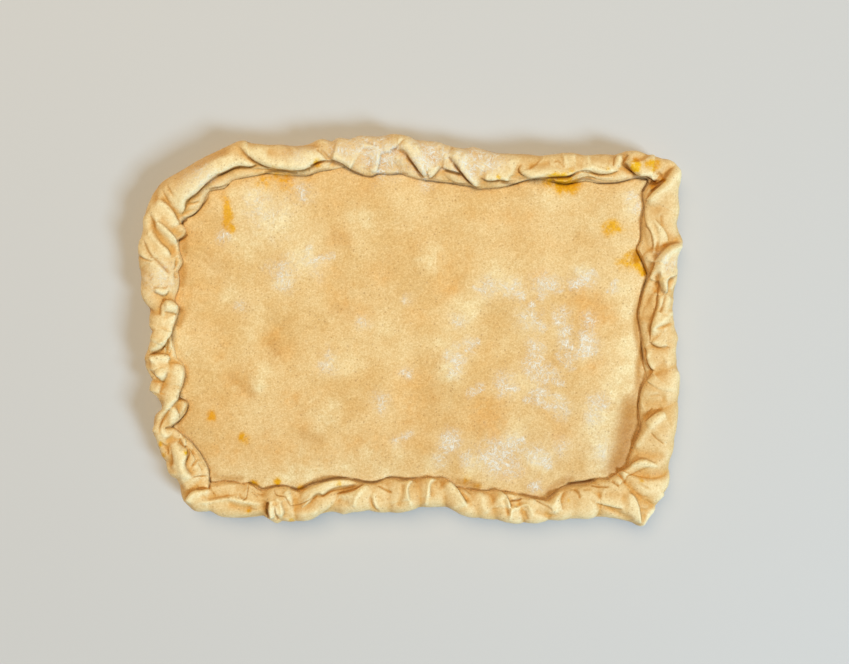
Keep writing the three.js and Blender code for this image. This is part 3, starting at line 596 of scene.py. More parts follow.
# Edges of flaps, in millimetres: factor on their drops, shares of a drop that stand over and under the
# general surface, how far each side takes to even out, and width of the rounded lip, with its growth for
# each millimetre of drop. Their reach is in pixels.
EDGE_GAIN = 1.15
OVER_SHARE = 0.65
UNDER_SHARE = 0.65
OVER_FADE = 7.0
UNDER_FADE = 4.0
LIP_LEAST = 1.2
LIP_GROWTH = 0.8
EDGE_REACH = 26.0

# The painted shade line under such an edge: darkness, its growth for each millimetre of drop, the most it
# may be, and in millimetres its width and how far under the edge its middle lies.
EDGE_LINE_LEAST = 0.1
EDGE_LINE_GROWTH = 0.15
EDGE_LINE_MOST = 0.7
EDGE_LINE_WIDTH = 0.6
EDGE_LINE_SHIFT = 0.3

# Creases, in millimetres: width, height of the lips beside one as a share of its depth, place and width
# of the lips. Their reach is in pixels.
CREASE_WIDTH = 0.65
CREASE_LIP = 0.25
CREASE_LIP_PLACE = 2.2
CREASE_LIP_WIDTH = 1.6
CREASE_REACH = 9.0

# The painted shade line in a crease: darkness for each millimetre of depth, the most it may be, and its
# width.
CREASE_LINE_GROWTH = 0.3
CREASE_LINE_MOST = 0.5
CREASE_LINE_WIDTH = 0.5

# Factor on the rises of the swells.
SWELL_GAIN = 0.68

# Gaps: depth in millimetres, share of the half widths that is used, darkness of painted shade that each
# has at least, half width in pixels that adds full darkness, and how flat their section is.
GAP_DEPTH = 1.5
GAP_NARROWING = 0.8
GAP_LEAST = 0.06
GAP_FULL_WIDTH = 2.6
GAP_FLATNESS = 4

# The rim's lift: least and most in millimetres, share that its lower flank gets, angle from which it is
# whole, and angles between which it comes in over the foot and fades out under the lid.
LIFT_RANGE = (-5, 4.5)
FLANK_LIFT = 0.35
FLANK_ANGLE = 45
FOOT_ANGLES = (-70, -10)
TUCK_ANGLES = (188, 148)

# Unevenness of the rim and of the lid: height and size of its lumps in millimetres, seed and layers.
RIM_NOISE = [(0.3, 12, 31, 3), (0.1, 2.5, 41, 2)]
LID_NOISE = [(0.55, 18, 51, 4), (0.05, 2.4, 57, 2)]

# Cells along each side of a block of noise, after which it repeats.
NOISE_CELLS = 32

# The lid: how sharply its lumps fall off, its slope outside the line where it meets the rim, and darkness
# and width in millimetres of the shade along that line.
LUMP_SHARPNESS = 2
OUTSIDE_SLOPE = 0.4
MEETING_DARKNESS = 0.12
MEETING_WIDTH = 0.6

# Low parts of the lid: how dark their painted shade is, how far an oil tint warms it, and how flat their
# section is.
LOW_LID_DARKNESS = 0.27
LOW_LID_SHADE_TINT = 0.25
LOW_LID_FLATNESS = 2.4

# The lid is a little darker in its lower part: by how much, and over which rows of the picture it gets so.
LOWER_SHADE = 0.06
LOWER_SHADE_ROWS = (370.0, 450.0)

# Dabs and streaks: how ragged a dab is for its radius, how far in pixels a streak wanders, how flat its
# section is, and size in millimetres of what bends each.
DAB_RAGGEDNESS = 0.5
STREAK_WANDER = 2
STREAK_FLATNESS = 2
DAB_BEND = 9
STREAK_BEND = 6

# Their uneven strength: how much it varies and the size of its patches in millimetres. Then the layers of
# noise in it and in the bending.
MOTTLE_SHARE = 0.5
MOTTLE_SIZE = 3
COLOUR_LAYERS = 3

# Seeds of the dabs and streaks, and what is added to them for the two directions of bending and for the
# uneven strength of the dabs.
FLOUR_SEED = 61
OIL_SEED = 91
TAN_SEED = 121
PALE_SEED = 151
STREAK_SEED = 181
STREAK_MOTTLE_SEED = 195
BEND_SEEDS = (0, 7)
MOTTLE_SEED = 15

# How far round a point of the rim, in steps of its grid, its surroundings are compared with it, and the
# depth in millimetres that counts as a full hollow. Hollows are toned tan and crests cream, partly as
# dough moister in folds and floured on top, partly as painted shade and painted highlight.
HOLLOW_REACH = 22
HOLLOW_DEPTH = 0.95

# Colours as seen on a screen, from 0 to 255.
PALE_DOUGH = (238, 206, 149)
WARM_DOUGH = (227, 187, 122)
AMBER_DOUGH = (233, 179, 101)
TAN_DOUGH = (216, 162, 82)
CREAM_DOUGH = (248, 229, 180)
FLOURED = (246, 241, 226)
OIL_TINT = (252, 216, 48)
SHADE_BROWN = (112, 62, 4)
BRAN = (150, 98, 48)
FLOOR = (205, 205, 205)

# How far the dough turns to these tones: to amber in the warm dabs, to cream in the pale ones, both partly
# painted shade and painted light, to tan in hollows and cream on crests, partly painted shade and painted
# highlight, to those of bran and flour, and to the brown of painted shade in creases, gaps and low parts.
TAN_SHARE = 0.8
PALE_SHARE = 0.95
HOLLOW_SHARE = 0.95
CREST_SHARE = 0.9
BRAN_SHARE = 0.36
FLOUR_SHARE = 0.92
SHADE_SHARE = 0.92

# Noise in the dough, each as scale per metre, detail and roughness: its broad tones, its grain, blots in
# the oil, and its bumps.
BROAD_NOISE = (34, 6, 0.65)
GRAIN_NOISE = (900, 3, 0.7)
BLOT_NOISE = (600, 4, 0.7)
BUMP_NOISE = (420, 4, 0.6)

# What the noise ranges from and to, and what that is turned into where it isn't 0 to 1.
BROAD_RANGE = (0.35, 0.65)
GRAIN_RANGE = (0.75, 1.45, 0.72, 1.24)
POWDER_RANGE = (0.5, 0.7, 0.3, 2.0)
BLOT_RANGE = (0.3, 0.7, 0.6, 1.3)
OIL_RANGE = (0.02, 0.8)

# Fibres in the dough and flour: directions in radians, how long they are for their width, detail and
# roughness of their noise, and their scale per metre in the grain and in the flour.
FIBRE_TURNS = (0.3, 1.4, 2.5)
FIBRE_STRETCH = 3.0
FIBRE_DETAIL = 3
FIBRE_ROUGHNESS = 0.65
GRAIN_FIBRES = 1000
POWDER_FIBRES = 800

# How strong the fine grain of the dough is on each piece.
RIM_GRAIN = 0.7
LID_GRAIN = 0.88

# How strongly the grain shows in red, green and blue: its darker parts are warmer.
GRAIN_TINT = (0.7, 1.0, 1.6)

# Specks of bran: cells per metre, shift of the pattern in metres, share of the cells that hold one, and
# size for the cell. Then the share of a speck's size that is solid.
SMALL_SPECKS = (520, (0.3, 0.1, 0.2), 0.16, 0.34)
LARGE_SPECKS = (210, (0.7, 0.4, 0.5), 0.1, 0.18)
SPECK_CORE = 0.5

# Finish of the dough: roughness, what flour adds to it and oil takes off, strength of its reflections,
# strength of its bumps and their height in metres.
ROUGHNESS = 0.6
FLOUR_ROUGHNESS = 0.3
OIL_SMOOTHNESS = 0.16
SPECULAR = 0.35
BUMP_STRENGTH = 0.4
BUMP_HEIGHT = 0.0006

# The floor: half its side in metres, and its roughness.
FLOOR_HALF = 3.0
FLOOR_ROUGHNESS = 0.8

# Lights: place and side in metres, power in watts and colour. Then colour and strength of the surround.
KEY_LIGHT = ((2.5, -1.7, 2.2), 0.9, 126, (0.6, 0.81, 1.0))
FILL_LIGHT = ((-0.65, 1.15, 2.7), 2.2, 69, (1.0, 0.79, 0.5))
SURROUND = (0.9, 0.95, 1.0, 1)
SURROUND_STRENGTH = 0.16


def linear(colour):
    """A screen colour as the light it stands for, with full opacity."""
    shares = [channel / 255 for channel in colour]
    light = [share / 12.92 if share < 0.04045 else ((share + 0.055) / 1.055) ** 2.4 for share in shares]
    return light + [1]


def ramp(values, start, end):
    """How far values have come from a start to an end, from 0 to 1."""
    return np.clip((values - start) / (end - start), 0, 1)


def falloff(distance, width):
    """1 where a distance is nothing, falling softly to 0 past a width."""
    return np.exp(-((distance / width) ** 2))


def evening_weights(reach):
    """Weights that even values out over their neighbours."""
    weights = np.hanning(2 * reach + 3)[1:-1]
    return weights / weights.sum()


def lattice_noise(points, size, seed):
    """Smooth noise from -1 to 1 at each point, with lumps of about the given size."""
    table = np.random.default_rng(seed).random((NOISE_CELLS, NOISE_CELLS, NOISE_CELLS))
    scaled = points / size
    cell = np.floor(scaled).astype(int)
    part = scaled - cell
    part = part * part * (3 - 2 * part)
    total = np.zeros(points.shape[:-1])
    for corner in itertools.product((0, 1), repeat=3):
        weight = np.prod(np.where(corner, part, 1 - part), axis=-1)
        x, y, z = np.moveaxis((cell + corner) % NOISE_CELLS, -1, 0)
        total += weight * table[x, y, z]
    return 2 * total - 1


def layered_noise(points, size, seed, layers):
    """Noise summed over layers that each are half as large and half as strong as the last."""
    total = np.zeros(points.shape[:-1])
    for layer in range(layers):
        total += lattice_noise(points, size / 2**layer, seed + layer) / 2**layer
    return total


def unevenness(points, rows):
    """Sum at each point of several kinds of noise, each with its height, size, seed and layers."""
    return sum(height * layered_noise(points, size, seed, layers) for height, size, seed, layers in rows)


def curve_span(before, start, end, after, share):
    """Points of a smooth curve between two of its points, given the ones before and after."""
    leave = (end - before) / 2
    arrive = (after - start) / 2
    square = -3 * start + 3 * end - 2 * leave - arrive
    cube = 2 * start - 2 * end + leave + arrive
    return start + leave * share + square * share**2 + cube * share**3


def closed_curve(points, steps):
    """A closed smooth curve through points, with a number of steps between each two."""
    points = np.array(points, float)
    share = (np.arange(steps) / steps)[:, None]
    spans = []
    for index in range(len(points)):
        corners = (points[(index + shift) % len(points)] for shift in (-1, 0, 1, 2))
        spans.append(curve_span(*corners, share))
    return np.concatenate(spans)


def stroke_path(points):
    """A smooth open curve through points, with points about as far apart as a stroke needs."""
    points = np.array(points, float)
    padded = np.concatenate([points[:1], points, points[-1:]])
    spans = []
    for index in range(len(points) - 1):
        steps = max(2, round(np.linalg.norm(points[index + 1] - points[index]) / STROKE_STEP))
        share = (np.arange(steps) / steps)[:, None]
        spans.append(curve_span(*padded[index:index + 4], share))
    return np.concatenate(spans + [points[-1:]])


SEAL_CURVE = closed_curve(SEAL_LINE, SEAL_STEPS)
SEAL_GAPS = np.linalg.norm(np.roll(SEAL_CURVE, -1, axis=0) - SEAL_CURVE, axis=1)
SEAL_LENGTH = SEAL_GAPS.sum()
SEAL_ALONG = np.cumsum(SEAL_GAPS) - SEAL_GAPS


def seal_points(along):
    """Points of the seal line at distances along it."""
    x = np.interp(along, SEAL_ALONG, SEAL_CURVE[:, 0], period=SEAL_LENGTH)
    y = np.interp(along, SEAL_ALONG, SEAL_CURVE[:, 1], period=SEAL_LENGTH)
    return np.stack([x, y], axis=-1)


def seal_normals(along):
    """Outward directions at distances along the seal line, square to a chord there."""
    chord = seal_points(along + HALF_CHORD) - seal_points(along - HALF_CHORD)
    chord /= np.linalg.norm(chord, axis=-1, keepdims=True)
    return np.stack([-chord[..., 1], chord[..., 0]], axis=-1)


def picture_of(points):
    """Where points of the part show in the picture."""
    scale = PICTURE_DISTANCE / (CAMERA_PLACE[2] - points[..., 2])
    x = PICTURE_MIDDLE[0] + (points[..., 0] - CAMERA_PLACE[0]) * scale
    y = PICTURE_MIDDLE[1] - (points[..., 1] - CAMERA_PLACE[1]) * scale
    return np.stack([x, y], axis=-1)


def plan_of(picture, height):
    """Plan of what shows at points of the picture and lies at a height."""
    scale = (CAMERA_PLACE[2] - height) / PICTURE_DISTANCE
    x = CAMERA_PLACE[0] + (picture[:, 0] - PICTURE_MIDDLE[0]) * scale
    y = CAMERA_PLACE[1] - (picture[:, 1] - PICTURE_MIDDLE[1]) * scale
    return np.stack([x, y], axis=-1)


OUTLINE_CURVE = plan_of(closed_curve(OUTLINE, TRACED_STEPS), OUTLINE_HEIGHT)
MEETING_CURVE = plan_of(closed_curve(MEETING, TRACED_STEPS), ROLL_EDGE)


def offsets_from_seal(curve, along):
    """How far out a line round the part lies from the seal line, at distances along that."""
    rows = np.linspace(0, SEAL_LENGTH, SEAL_PLACES, endpoint=False)
    middles = seal_points(rows)
    normals = seal_normals(rows)
    tangents = np.stack([normals[:, 1], -normals[:, 0]], axis=-1)
    gaps = curve[:, None, :] - middles[None, :, :]
    distance = np.linalg.norm(gaps, axis=-1)
    slip = np.abs((gaps * tangents).sum(axis=-1)) + FAR_SHARE * distance
    slip[distance > FARTHEST] = np.inf
    nearest = slip.argmin(axis=1)
    places = np.arange(len(curve))
    out = (gaps[places, nearest] * normals[nearest]).sum(axis=-1)
    order = np.argsort(rows[nearest], kind="stable")
    return np.interp(along, rows[nearest][order], out[order], period=SEAL_LENGTH)


def evened_round(values, reach):
    """Values round a closed line, evened out over a few neighbours."""
    padded = np.concatenate([values[-reach:], values, values[:reach]])
    return np.convolve(padded, evening_weights(reach), mode="valid")


def roll_points(along, degrees, lift):
    """Points of the rim: along it, round the roll, and lifted off the roll's plain surface."""
    first = along[:, 0]
    outer = evened_round(offsets_from_seal(OUTLINE_CURVE, first), OUTER_EVENING)[:, None]
    inner = evened_round(offsets_from_seal(MEETING_CURVE, first), INNER_EVENING)[:, None]
    middle = (outer + inner) / 2
    angle = np.radians(np.minimum(degrees, EDGE_ANGLE))
    cosine = np.cos(angle)
    flatness = np.where(degrees < CREST_ANGLE, OUTER_FLATNESS, INNER_FLATNESS)
    side = np.sign(cosine) * np.abs(cosine) ** np.where(degrees < 0, SAG, flatness)
    climb = np.sign(angle) * np.abs(np.sin(angle)) ** np.where(degrees < 0, 1, flatness)
    tucked = ramp(degrees, EDGE_ANGLE, TUCKED_ROWS[-1])
    half = np.where(cosine > 0, outer - middle, middle - inner)
    out = middle + (half + lift) * side + UNDERCUT * tucked
    base = np.where(degrees < CREST_ANGLE, ROLL_MIDDLE, ROLL_EDGE)
    rise = np.where(degrees < 0, ROLL_DROP, ROLL_CREST - base)
    z = base + (rise + lift) * climb - UNDERCUT_DROP * tucked
    plan = seal_points(along) + seal_normals(along) * out[..., None]
    return np.concatenate([plan, z[..., None]], axis=-1)


def fold_rows():
    """Every fold as start and end along the rim, start and end angle, width and rise."""
    pleats = [(start, end, PLEAT_START, PLEAT_END, width, rise) for start, end, width, rise in PLEATS]
    return pleats + ROLLS


def fold_height(along, arc, fold):
    """Height over the plain roll of one fold's top; far below it where the fold isn't."""
    start_along, end_along, start_angle, end_angle, width, rise = fold
    start = np.array([start_along, start_angle * ARC_PER_DEGREE])
    end = np.array([end_along, end_angle * ARC_PER_DEGREE])
    middle = (start + end) / 2
    reach = (end - start) * END_OVERRUN / 2
    length = np.linalg.norm(reach)
    heading = reach / length
    thickness = min(FOLD_THICKNESS, width * NARROW_THICKNESS)
    gap = (along - middle[0] + SEAL_LENGTH / 2) % SEAL_LENGTH - SEAL_LENGTH / 2
    climb = arc - middle[1]
    lengthwise = (gap * heading[0] + climb * heading[1]) / length
    across = climb * heading[0] - gap * heading[1]
    swell = np.maximum(1 - lengthwise**2, 0) ** END_BLUNTNESS
    section = swell - (2 * across / width) ** 2
    top = rise + thickness / 2 * (np.sqrt(np.maximum(section, 0)) - 1) + across * LIP_SLOPE
    return np.where(section > 0, top, -FOLD_THICKNESS)


def fold_swell(along, arc):
    """Soft lift of the rim's surface over the plain roll where the folds lie."""
    total = np.ones_like(along)
    for fold in fold_rows():
        total += np.exp(fold_height(along, arc, fold) / FOLD_SOFTNESS)
    return FOLD_SHARE * (FOLD_SOFTNESS * np.log(total) - FOLD_MEAN)


def near_stroke(picture, points, reach):
    """Points near a stroke: which they are, how far to its right in millimetres, and its strength."""
    path = stroke_path(points)
    low = path.min(axis=0) - reach
    high = path.max(axis=0) + reach
    rows = np.flatnonzero(((picture > low) & (picture < high)).all(axis=1))
    gaps = picture[rows][:, None, :] - path[None, :, :]
    square = (gaps**2).sum(axis=-1)
    nearest = square.argmin(axis=1)
    places = np.arange(len(rows))
    gap = gaps[places, nearest]
    tangent = np.gradient(path, axis=0)[nearest]
    side = np.sign(tangent[:, 0] * gap[:, 1] - tangent[:, 1] * gap[:, 0])
    share = nearest / (len(path) - 1)
    strength = np.clip(np.minimum(share, 1 - share) / STROKE_TAPER, 0, 1)
    return rows, side * np.sqrt(square[places, nearest]) * MM_PER_PIXEL, strength


def edge_relief(picture, lift, dark):
    """Adds the edges of overlapping flaps to a surface's lift, and the painted shade under them to its
    darkness.
    """
    for drop, points in EDGES:
        rows, right, strength = near_stroke(picture, points, EDGE_REACH)
        lip = LIP_LEAST + LIP_GROWTH * drop
        round_off = np.sqrt(1 - (1 - np.clip(right / lip, 0, 1)) ** 2)
        over = OVER_SHARE * np.exp(-np.maximum(right - lip, 0) / OVER_FADE)
        under = -UNDER_SHARE * np.exp(np.minimum(right, 0) / UNDER_FADE)
        lift[rows] += EDGE_GAIN * drop * strength * (under + (over - under) * round_off)
        darkness = min(EDGE_LINE_MOST, EDGE_LINE_LEAST + EDGE_LINE_GROWTH * drop)
        line = darkness * strength * falloff(right + EDGE_LINE_SHIFT, EDGE_LINE_WIDTH)
        dark[rows] = np.maximum(dark[rows], line)


def crease_relief(picture, lift, dark):
    """Adds creases pressed into the dough, and the painted shade in them."""
    for depth, points in CREASES:
        rows, right, strength = near_stroke(picture, points, CREASE_REACH)
        cut = falloff(right, CREASE_WIDTH)
        lip = CREASE_LIP * falloff(np.abs(right) - CREASE_LIP_PLACE, CREASE_LIP_WIDTH)
        lift[rows] += depth * strength * (lip - cut)
        darkness = min(CREASE_LINE_MOST, CREASE_LINE_GROWTH * depth)
        dark[rows] = np.maximum(dark[rows], darkness * strength * falloff(right, CREASE_LINE_WIDTH))


def swell_relief(picture, lift, swells):
    """Adds soft ridges and hollows."""
    for rise, half_width, points in swells:
        rows, right, strength = near_stroke(picture, points, STROKE_SPREAD * half_width)
        lift[rows] += SWELL_GAIN * rise * strength * falloff(right, half_width * MM_PER_PIXEL)


def stroke_cover(picture, strokes, flatness):
    """How far each point lies in strokes, from 0 to 1. The flatter they are, the clearer their borders."""
    cover = np.zeros(len(picture))
    for strength, half_width, points in strokes:
        rows, right, share = near_stroke(picture, points, STROKE_SPREAD * half_width)
        across = np.abs(right / (half_width * MM_PER_PIXEL))
        inside = strength * np.sqrt(share) * np.exp(-(across**flatness))
        cover[rows] = np.maximum(cover[rows], inside)
    return cover


def gap_cover(picture):
    """How far each point lies in a gap, which is sunk in and painted with shade, from 0 to 1."""
    strokes = []
    for half_width, points in GAPS:
        strength = min(1, GAP_LEAST + half_width / GAP_FULL_WIDTH)
        strokes.append((strength, half_width * GAP_NARROWING, points))
    return stroke_cover(picture, strokes, GAP_FLATNESS)


def bending(solid, size, seed):
    """Soft random shifts in two directions at each point."""
    shifts = [layered_noise(solid, size, seed + shift, COLOUR_LAYERS) for shift in BEND_SEEDS]
    return np.stack(shifts, axis=-1)


def mottle(solid, seed):
    """Uneven strengths round 1 at each point."""
    return 1 + MOTTLE_SHARE * layered_noise(solid, MOTTLE_SIZE, seed, COLOUR_LAYERS)


def dabs(picture, solid, patches, seed):
    """How strongly ragged dabs of colour cover each point, from 0 to 1."""
    bend = DAB_RAGGEDNESS * bending(solid, DAB_BEND, seed)
    bare = np.ones(len(picture))
    for x, y, radius, strength in patches:
        distance = np.linalg.norm((picture - (x, y)) / radius + bend, axis=-1)
        bare *= 1 - strength * np.exp(-(distance**2))
    return np.clip((1 - bare) * mottle(solid, seed + MOTTLE_SEED), 0, 1)


def flour_streaks(picture, solid):
    """How strongly brushed streaks of flour cover each point, from 0 to 1."""
    moved = picture + STREAK_WANDER * bending(solid, STREAK_BEND, STREAK_SEED)
    cover = stroke_cover(moved, FLOUR_STREAKS, STREAK_FLATNESS)
    return np.clip(cover * mottle(solid, STREAK_MOTTLE_SEED), 0, 1)


def colour_values(points):
    """Flour, oil, and warm and pale dough, which hold painted shade and painted light too, over a piece's
    points.
    """
    picture = picture_of(points)
    return {
        "flour": np.maximum(dabs(picture, points, FLOUR, FLOUR_SEED), flour_streaks(picture, points)),
        "oil": dabs(picture, points, OIL, OIL_SEED),
        "tan": dabs(picture, points, TAN_AND_SHADE, TAN_SEED),
        "pale": dabs(picture, points, PALE_AND_LIGHT, PALE_SEED),
    }


def mesh_object(name, vertices, faces, attributes):
    """A smooth mesh object from points in millimetres, with one named value per point each."""
    mesh = bpy.data.meshes.new(name)
    mesh.from_pydata((vertices * MM).tolist(), [], faces)
    mesh.polygons.foreach_set("use_smooth", np.ones(len(mesh.polygons), bool))
    for key, values in attributes.items():
        layer = mesh.attributes.new(key, "FLOAT", "POINT")
        layer.data.foreach_set("value", np.asarray(values, np.float32))
    mesh.update()
    thing = bpy.data.objects.new(name, mesh)
    bpy.context.scene.collection.objects.link(thing)
    return thing


def evened_grid(values, reach):
    """A grid of values evened out over its neighbours, closed along its first direction."""
    weights = evening_weights(reach)
    padded = np.pad(values, ((reach, reach), (0, 0)), mode="wrap")
    padded = np.pad(padded, ((0, 0), (reach, reach)), mode="edge")
    down = sum(weight * padded[shift:shift + len(values)] for shift, weight in enumerate(weights))
    width = values.shape[1]
    return sum(weight * down[:, shift:shift + width] for shift, weight in enumerate(weights))


def thin_out(thing, triangles):
    """Joins faces of a mesh object where it is smooth, until it has a number of triangles."""
    count = sum(len(face.vertices) - 2 for face in thing.data.polygons)
    thinning = thing.modifiers.new("thinning", "DECIMATE")
    thinning.ratio = triangles / count
    view = bpy.context.evaluated_depsgraph_get()
    thinned = bpy.data.meshes.new_from_object(thing.evaluated_get(view))
    thing.modifiers.clear()
    thing.data = thinned


def rim_lift(along, degrees, plain):
    """How far the rim is lifted off the plain roll, and its painted shade along edges and creases."""
    picture = picture_of(plain).reshape(-1, 2)
    past_crest = (degrees - CREST_ANGLE) * (PLEAT_END - CREST_ANGLE) / (EDGE_ANGLE - CREST_ANGLE)
    fold_degrees = np.where(degrees < CREST_ANGLE, degrees, CREST_ANGLE + past_crest)
    lift = fold_swell(along, fold_degrees * ARC_PER_DEGREE).ravel()
    dark = np.zeros(len(picture))
    edge_relief(picture, lift, dark)
    crease_relief(picture, lift, dark)
    swell_relief(picture, lift, SWELLS)
    lift -= GAP_DEPTH * gap_cover(picture)
    lift += unevenness(plain.reshape(-1, 3), RIM_NOISE)
    lift = np.clip(lift, *LIFT_RANGE).reshape(along.shape)
    flank = FLANK_LIFT + (1 - FLANK_LIFT) * ramp(degrees, 0, FLANK_ANGLE)
    fade = flank * ramp(degrees, *FOOT_ANGLES) * ramp(degrees, *TUCK_ANGLES)
    return lift * fade, dark


def rim_surface():
    """Points of the rim's grid, along it and round the roll, its painted shade, and how hollow it is."""
    along = np.arange(RIM_COLUMNS) / RIM_COLUMNS * SEAL_LENGTH
    degrees = np.concatenate([FOOT_ROWS, CREST_ROWS, TUCKED_ROWS])
    along, degrees = np.meshgrid(along, degrees, indexing="ij")
    plain = roll_points(along, degrees, np.zeros_like(along))
    lift, dark = rim_lift(along, degrees, plain)
    points = roll_points(along, degrees, lift)
    points[..., 2] = np.maximum(points[..., 2], 0)
    points[:, 0, 2] = 0
    # Painted shade in the gaps, where the lifted points show.
    dark = np.maximum(dark, gap_cover(picture_of(points).reshape(-1, 2))).reshape(along.shape)
    # How hollow each point is, for tan in hollows and cream on crests, partly painted shade and painted
    # highlight.
    hollow = np.clip((evened_grid(lift, HOLLOW_REACH) - lift) / HOLLOW_DEPTH, -1, 1)
    return points, dark, hollow


def rim_object():
    """The base with its rim: a grid wrapped round the roll, closed below and under the lid."""
    points, dark, hollow = rim_surface()
    count = dark.size
    index = np.arange(count).reshape(dark.shape)
    following = np.roll(index, -1, axis=0)
    quads = np.stack([index[:, :-1], index[:, 1:], following[:, 1:], following[:, :-1]], axis=-1)
    faces = quads.reshape(-1, 4).tolist()
    foot = zip(index[:, 0].tolist(), following[:, 0].tolist())
    tucked = zip(index[:, -1].tolist(), following[:, -1].tolist())
    faces += [[low, later, count] for low, later in foot]
    faces += [[later, low, count + 1] for low, later in tucked]
    ends = np.array([[0, 0, 0], [0, 0, points[:, -1, 2].mean()]])
    vertices = np.concatenate([points.reshape(-1, 3), ends])
    values = colour_values(vertices)
    # The painted shade of edges, creases and gaps, and how hollow each point is.
    values["painted_shade"] = np.concatenate([dark.ravel(), [0, 0]])
    values["hollow"] = np.concatenate([hollow.ravel(), [0, 0]])
    values["grain"] = np.full(len(vertices), RIM_GRAIN)
    rim = mesh_object("rim", vertices, faces, values)
    thin_out(rim, RIM_TRIANGLES)
    return rim


def inset_from_rim(plan):
    """How far inside the line where the lid meets the rim each point lies; below zero outside it."""
    heading = np.roll(MEETING_CURVE, -1, axis=0) - np.roll(MEETING_CURVE, 1, axis=0)
    inset = np.zeros(len(plan))
    for start in range(0, len(plan), CHUNK):
        chunk = plan[start:start + CHUNK]
        gaps = chunk[:, None, :] - MEETING_CURVE[None, :, :]
        square = (gaps**2).sum(axis=-1)
        nearest = square.argmin(axis=1)
        rows = np.arange(len(chunk))
        gap = gaps[rows, nearest]
        inward = heading[nearest, 1] * gap[:, 0] - heading[nearest, 0] * gap[:, 1]
        inset[start:start + CHUNK] = np.sign(inward) * np.sqrt(square[rows, nearest])
    return inset


def lid_grid():
    """Plan of the lid's points, how far inside the rim each lies, and the faces between them."""
    low = MEETING_CURVE.min(axis=0) - LID_TUCK
    high = MEETING_CURVE.max(axis=0) + LID_TUCK
    columns = np.arange(low[0], high[0], LID_STEP)
    rows = np.arange(low[1], high[1], LID_STEP)
    x, y = np.meshgrid(columns, rows, indexing="ij")
    plan = np.stack([x.ravel(), y.ravel()], axis=-1)
    inset = inset_from_rim(plan)
    index = np.arange(len(plan)).reshape(x.shape)
    corners = [index[:-1, :-1], index[1:, :-1], index[1:, 1:], index[:-1, 1:]]
    quads = np.stack(corners, axis=-1).reshape(-1, 4)
    kept = quads[(inset[quads] > -LID_TUCK).all(axis=1)]
    used, quads = np.unique(kept, return_inverse=True)
    return plan[used], inset[used], quads.reshape(-1, 4)


def lid_heights(plan, inset):
    """Heights of the lid, which falls to the groove near the rim and follows its lumps, and its gaps."""
    depth = np.maximum(inset, 0)
    height = LID_HEIGHT - (LID_HEIGHT - GROOVE_HEIGHT) * np.exp(-depth / GROOVE_FADE)
    height += OUTSIDE_SLOPE * np.minimum(inset, 0)
    for x, y, radius, rise in LUMPS:
        distance = np.hypot(plan[:, 0] - x, plan[:, 1] - y) / radius
        height += rise * np.exp(-LUMP_SHARPNESS * distance**2)
    level = np.concatenate([plan, np.zeros((len(plan), 1))], axis=1)
    height += unevenness(level, LID_NOISE)
    picture = picture_of(np.concatenate([plan, height[:, None]], axis=1))
    swell_relief(picture, height, LID_SWELLS)
    gap = gap_cover(picture)
    return height - GAP_DEPTH * gap, gap


def closed_below(top, quads):
    """Points and faces of a sheet, with a skirt round its border and an underside added."""
    edges = np.concatenate([quads[:, [corner, (corner + 1) % 4]] for corner in range(4)])
    known = set(map(tuple, edges.tolist()))
    border = sorted(edge for edge in known if (edge[1], edge[0]) not in known)
    border_points = sorted({point for edge in border for point in edge})
    below = {point: len(top) + place for place, point in enumerate(border_points)}
    skirt = top[border_points]
    skirt[:, 2] = LID_UNDERSIDE
    middle = len(top) + len(skirt)
    faces = quads.tolist()
    faces += [[end, start, below[start], below[end]] for start, end in border]
    faces += [[below[end], below[start], middle] for start, end in border]
    return np.concatenate([top, skirt, [[0, 0, LID_UNDERSIDE]]]), faces


def lid_values(vertices, inset, gap):
    """What the lid's material shows at each point, given inset and gaps of those on its top."""
    picture = picture_of(vertices)
    low_lid = stroke_cover(picture, LOW_LID, LOW_LID_FLATNESS)
    dark = np.zeros(len(vertices))
    dark[:len(gap)] = np.maximum(gap, MEETING_DARKNESS * falloff(inset, MEETING_WIDTH))
    shade = LOWER_SHADE * ramp(picture[:, 1], *LOWER_SHADE_ROWS)
    values = colour_values(vertices)
    # Painted shade in gaps, along the meeting line, in low parts and lower down; low parts also get tan
    # and an oil tint.
    values["painted_shade"] = np.maximum(dark, LOW_LID_DARKNESS * low_lid) + shade
    values["hollow"] = low_lid
    values["oil"] = np.maximum(values["oil"], LOW_LID_SHADE_TINT * low_lid)
    values["grain"] = np.full(len(vertices), LID_GRAIN)
    return values


def lid_object():
    """The lid: a grid that follows the lumps of the filling, closed underneath inside the rim."""
    plan, inset, quads = lid_grid()
    heights, gap = lid_heights(plan, inset)
    vertices, faces = closed_below(np.concatenate([plan, heights[:, None]], axis=1), quads)
    return mesh_object("lid", vertices, faces, lid_values(vertices, inset, gap))


def add_node(tree, kind, inputs, **settings):
    """A new node, with its settings, and its inputs each set to a value or linked to an output."""
    made = tree.nodes.new(kind)
    for key, value in settings.items():
        setattr(made, key, value)
    for key, value in inputs.items():
        if isinstance(value, bpy.types.NodeSocket):
            tree.links.new(value, made.inputs[key])
        else:
            made.inputs[key].default_value = value
    return made


def mixed(tree, share, first, second, blend="MIX"):
    """Output of a node that mixes two colours, which are its inputs 6 and 7, into its output 2."""
    inputs = {0: share, 6: first, 7: second}
    return add_node(tree, "ShaderNodeMix", inputs, data_type="RGBA", blend_type=blend).outputs[2]


def sums(tree, operation, first, second, clamp=False):
    """Output of a node that works out one sum."""
    inputs = {0: first, 1: second}
    return add_node(tree, "ShaderNodeMath", inputs, operation=operation, use_clamp=clamp).outputs[0]


def between(tree, value, low, high, to_low=0.0, to_high=1.0):
    """Output of a node that maps a range of values smoothly onto another."""
    inputs = {"Value": value, "From Min": low, "From Max": high, "To Min": to_low, "To Max": to_high}
    return add_node(tree, "ShaderNodeMapRange", inputs, interpolation_type="SMOOTHSTEP").outputs[0]


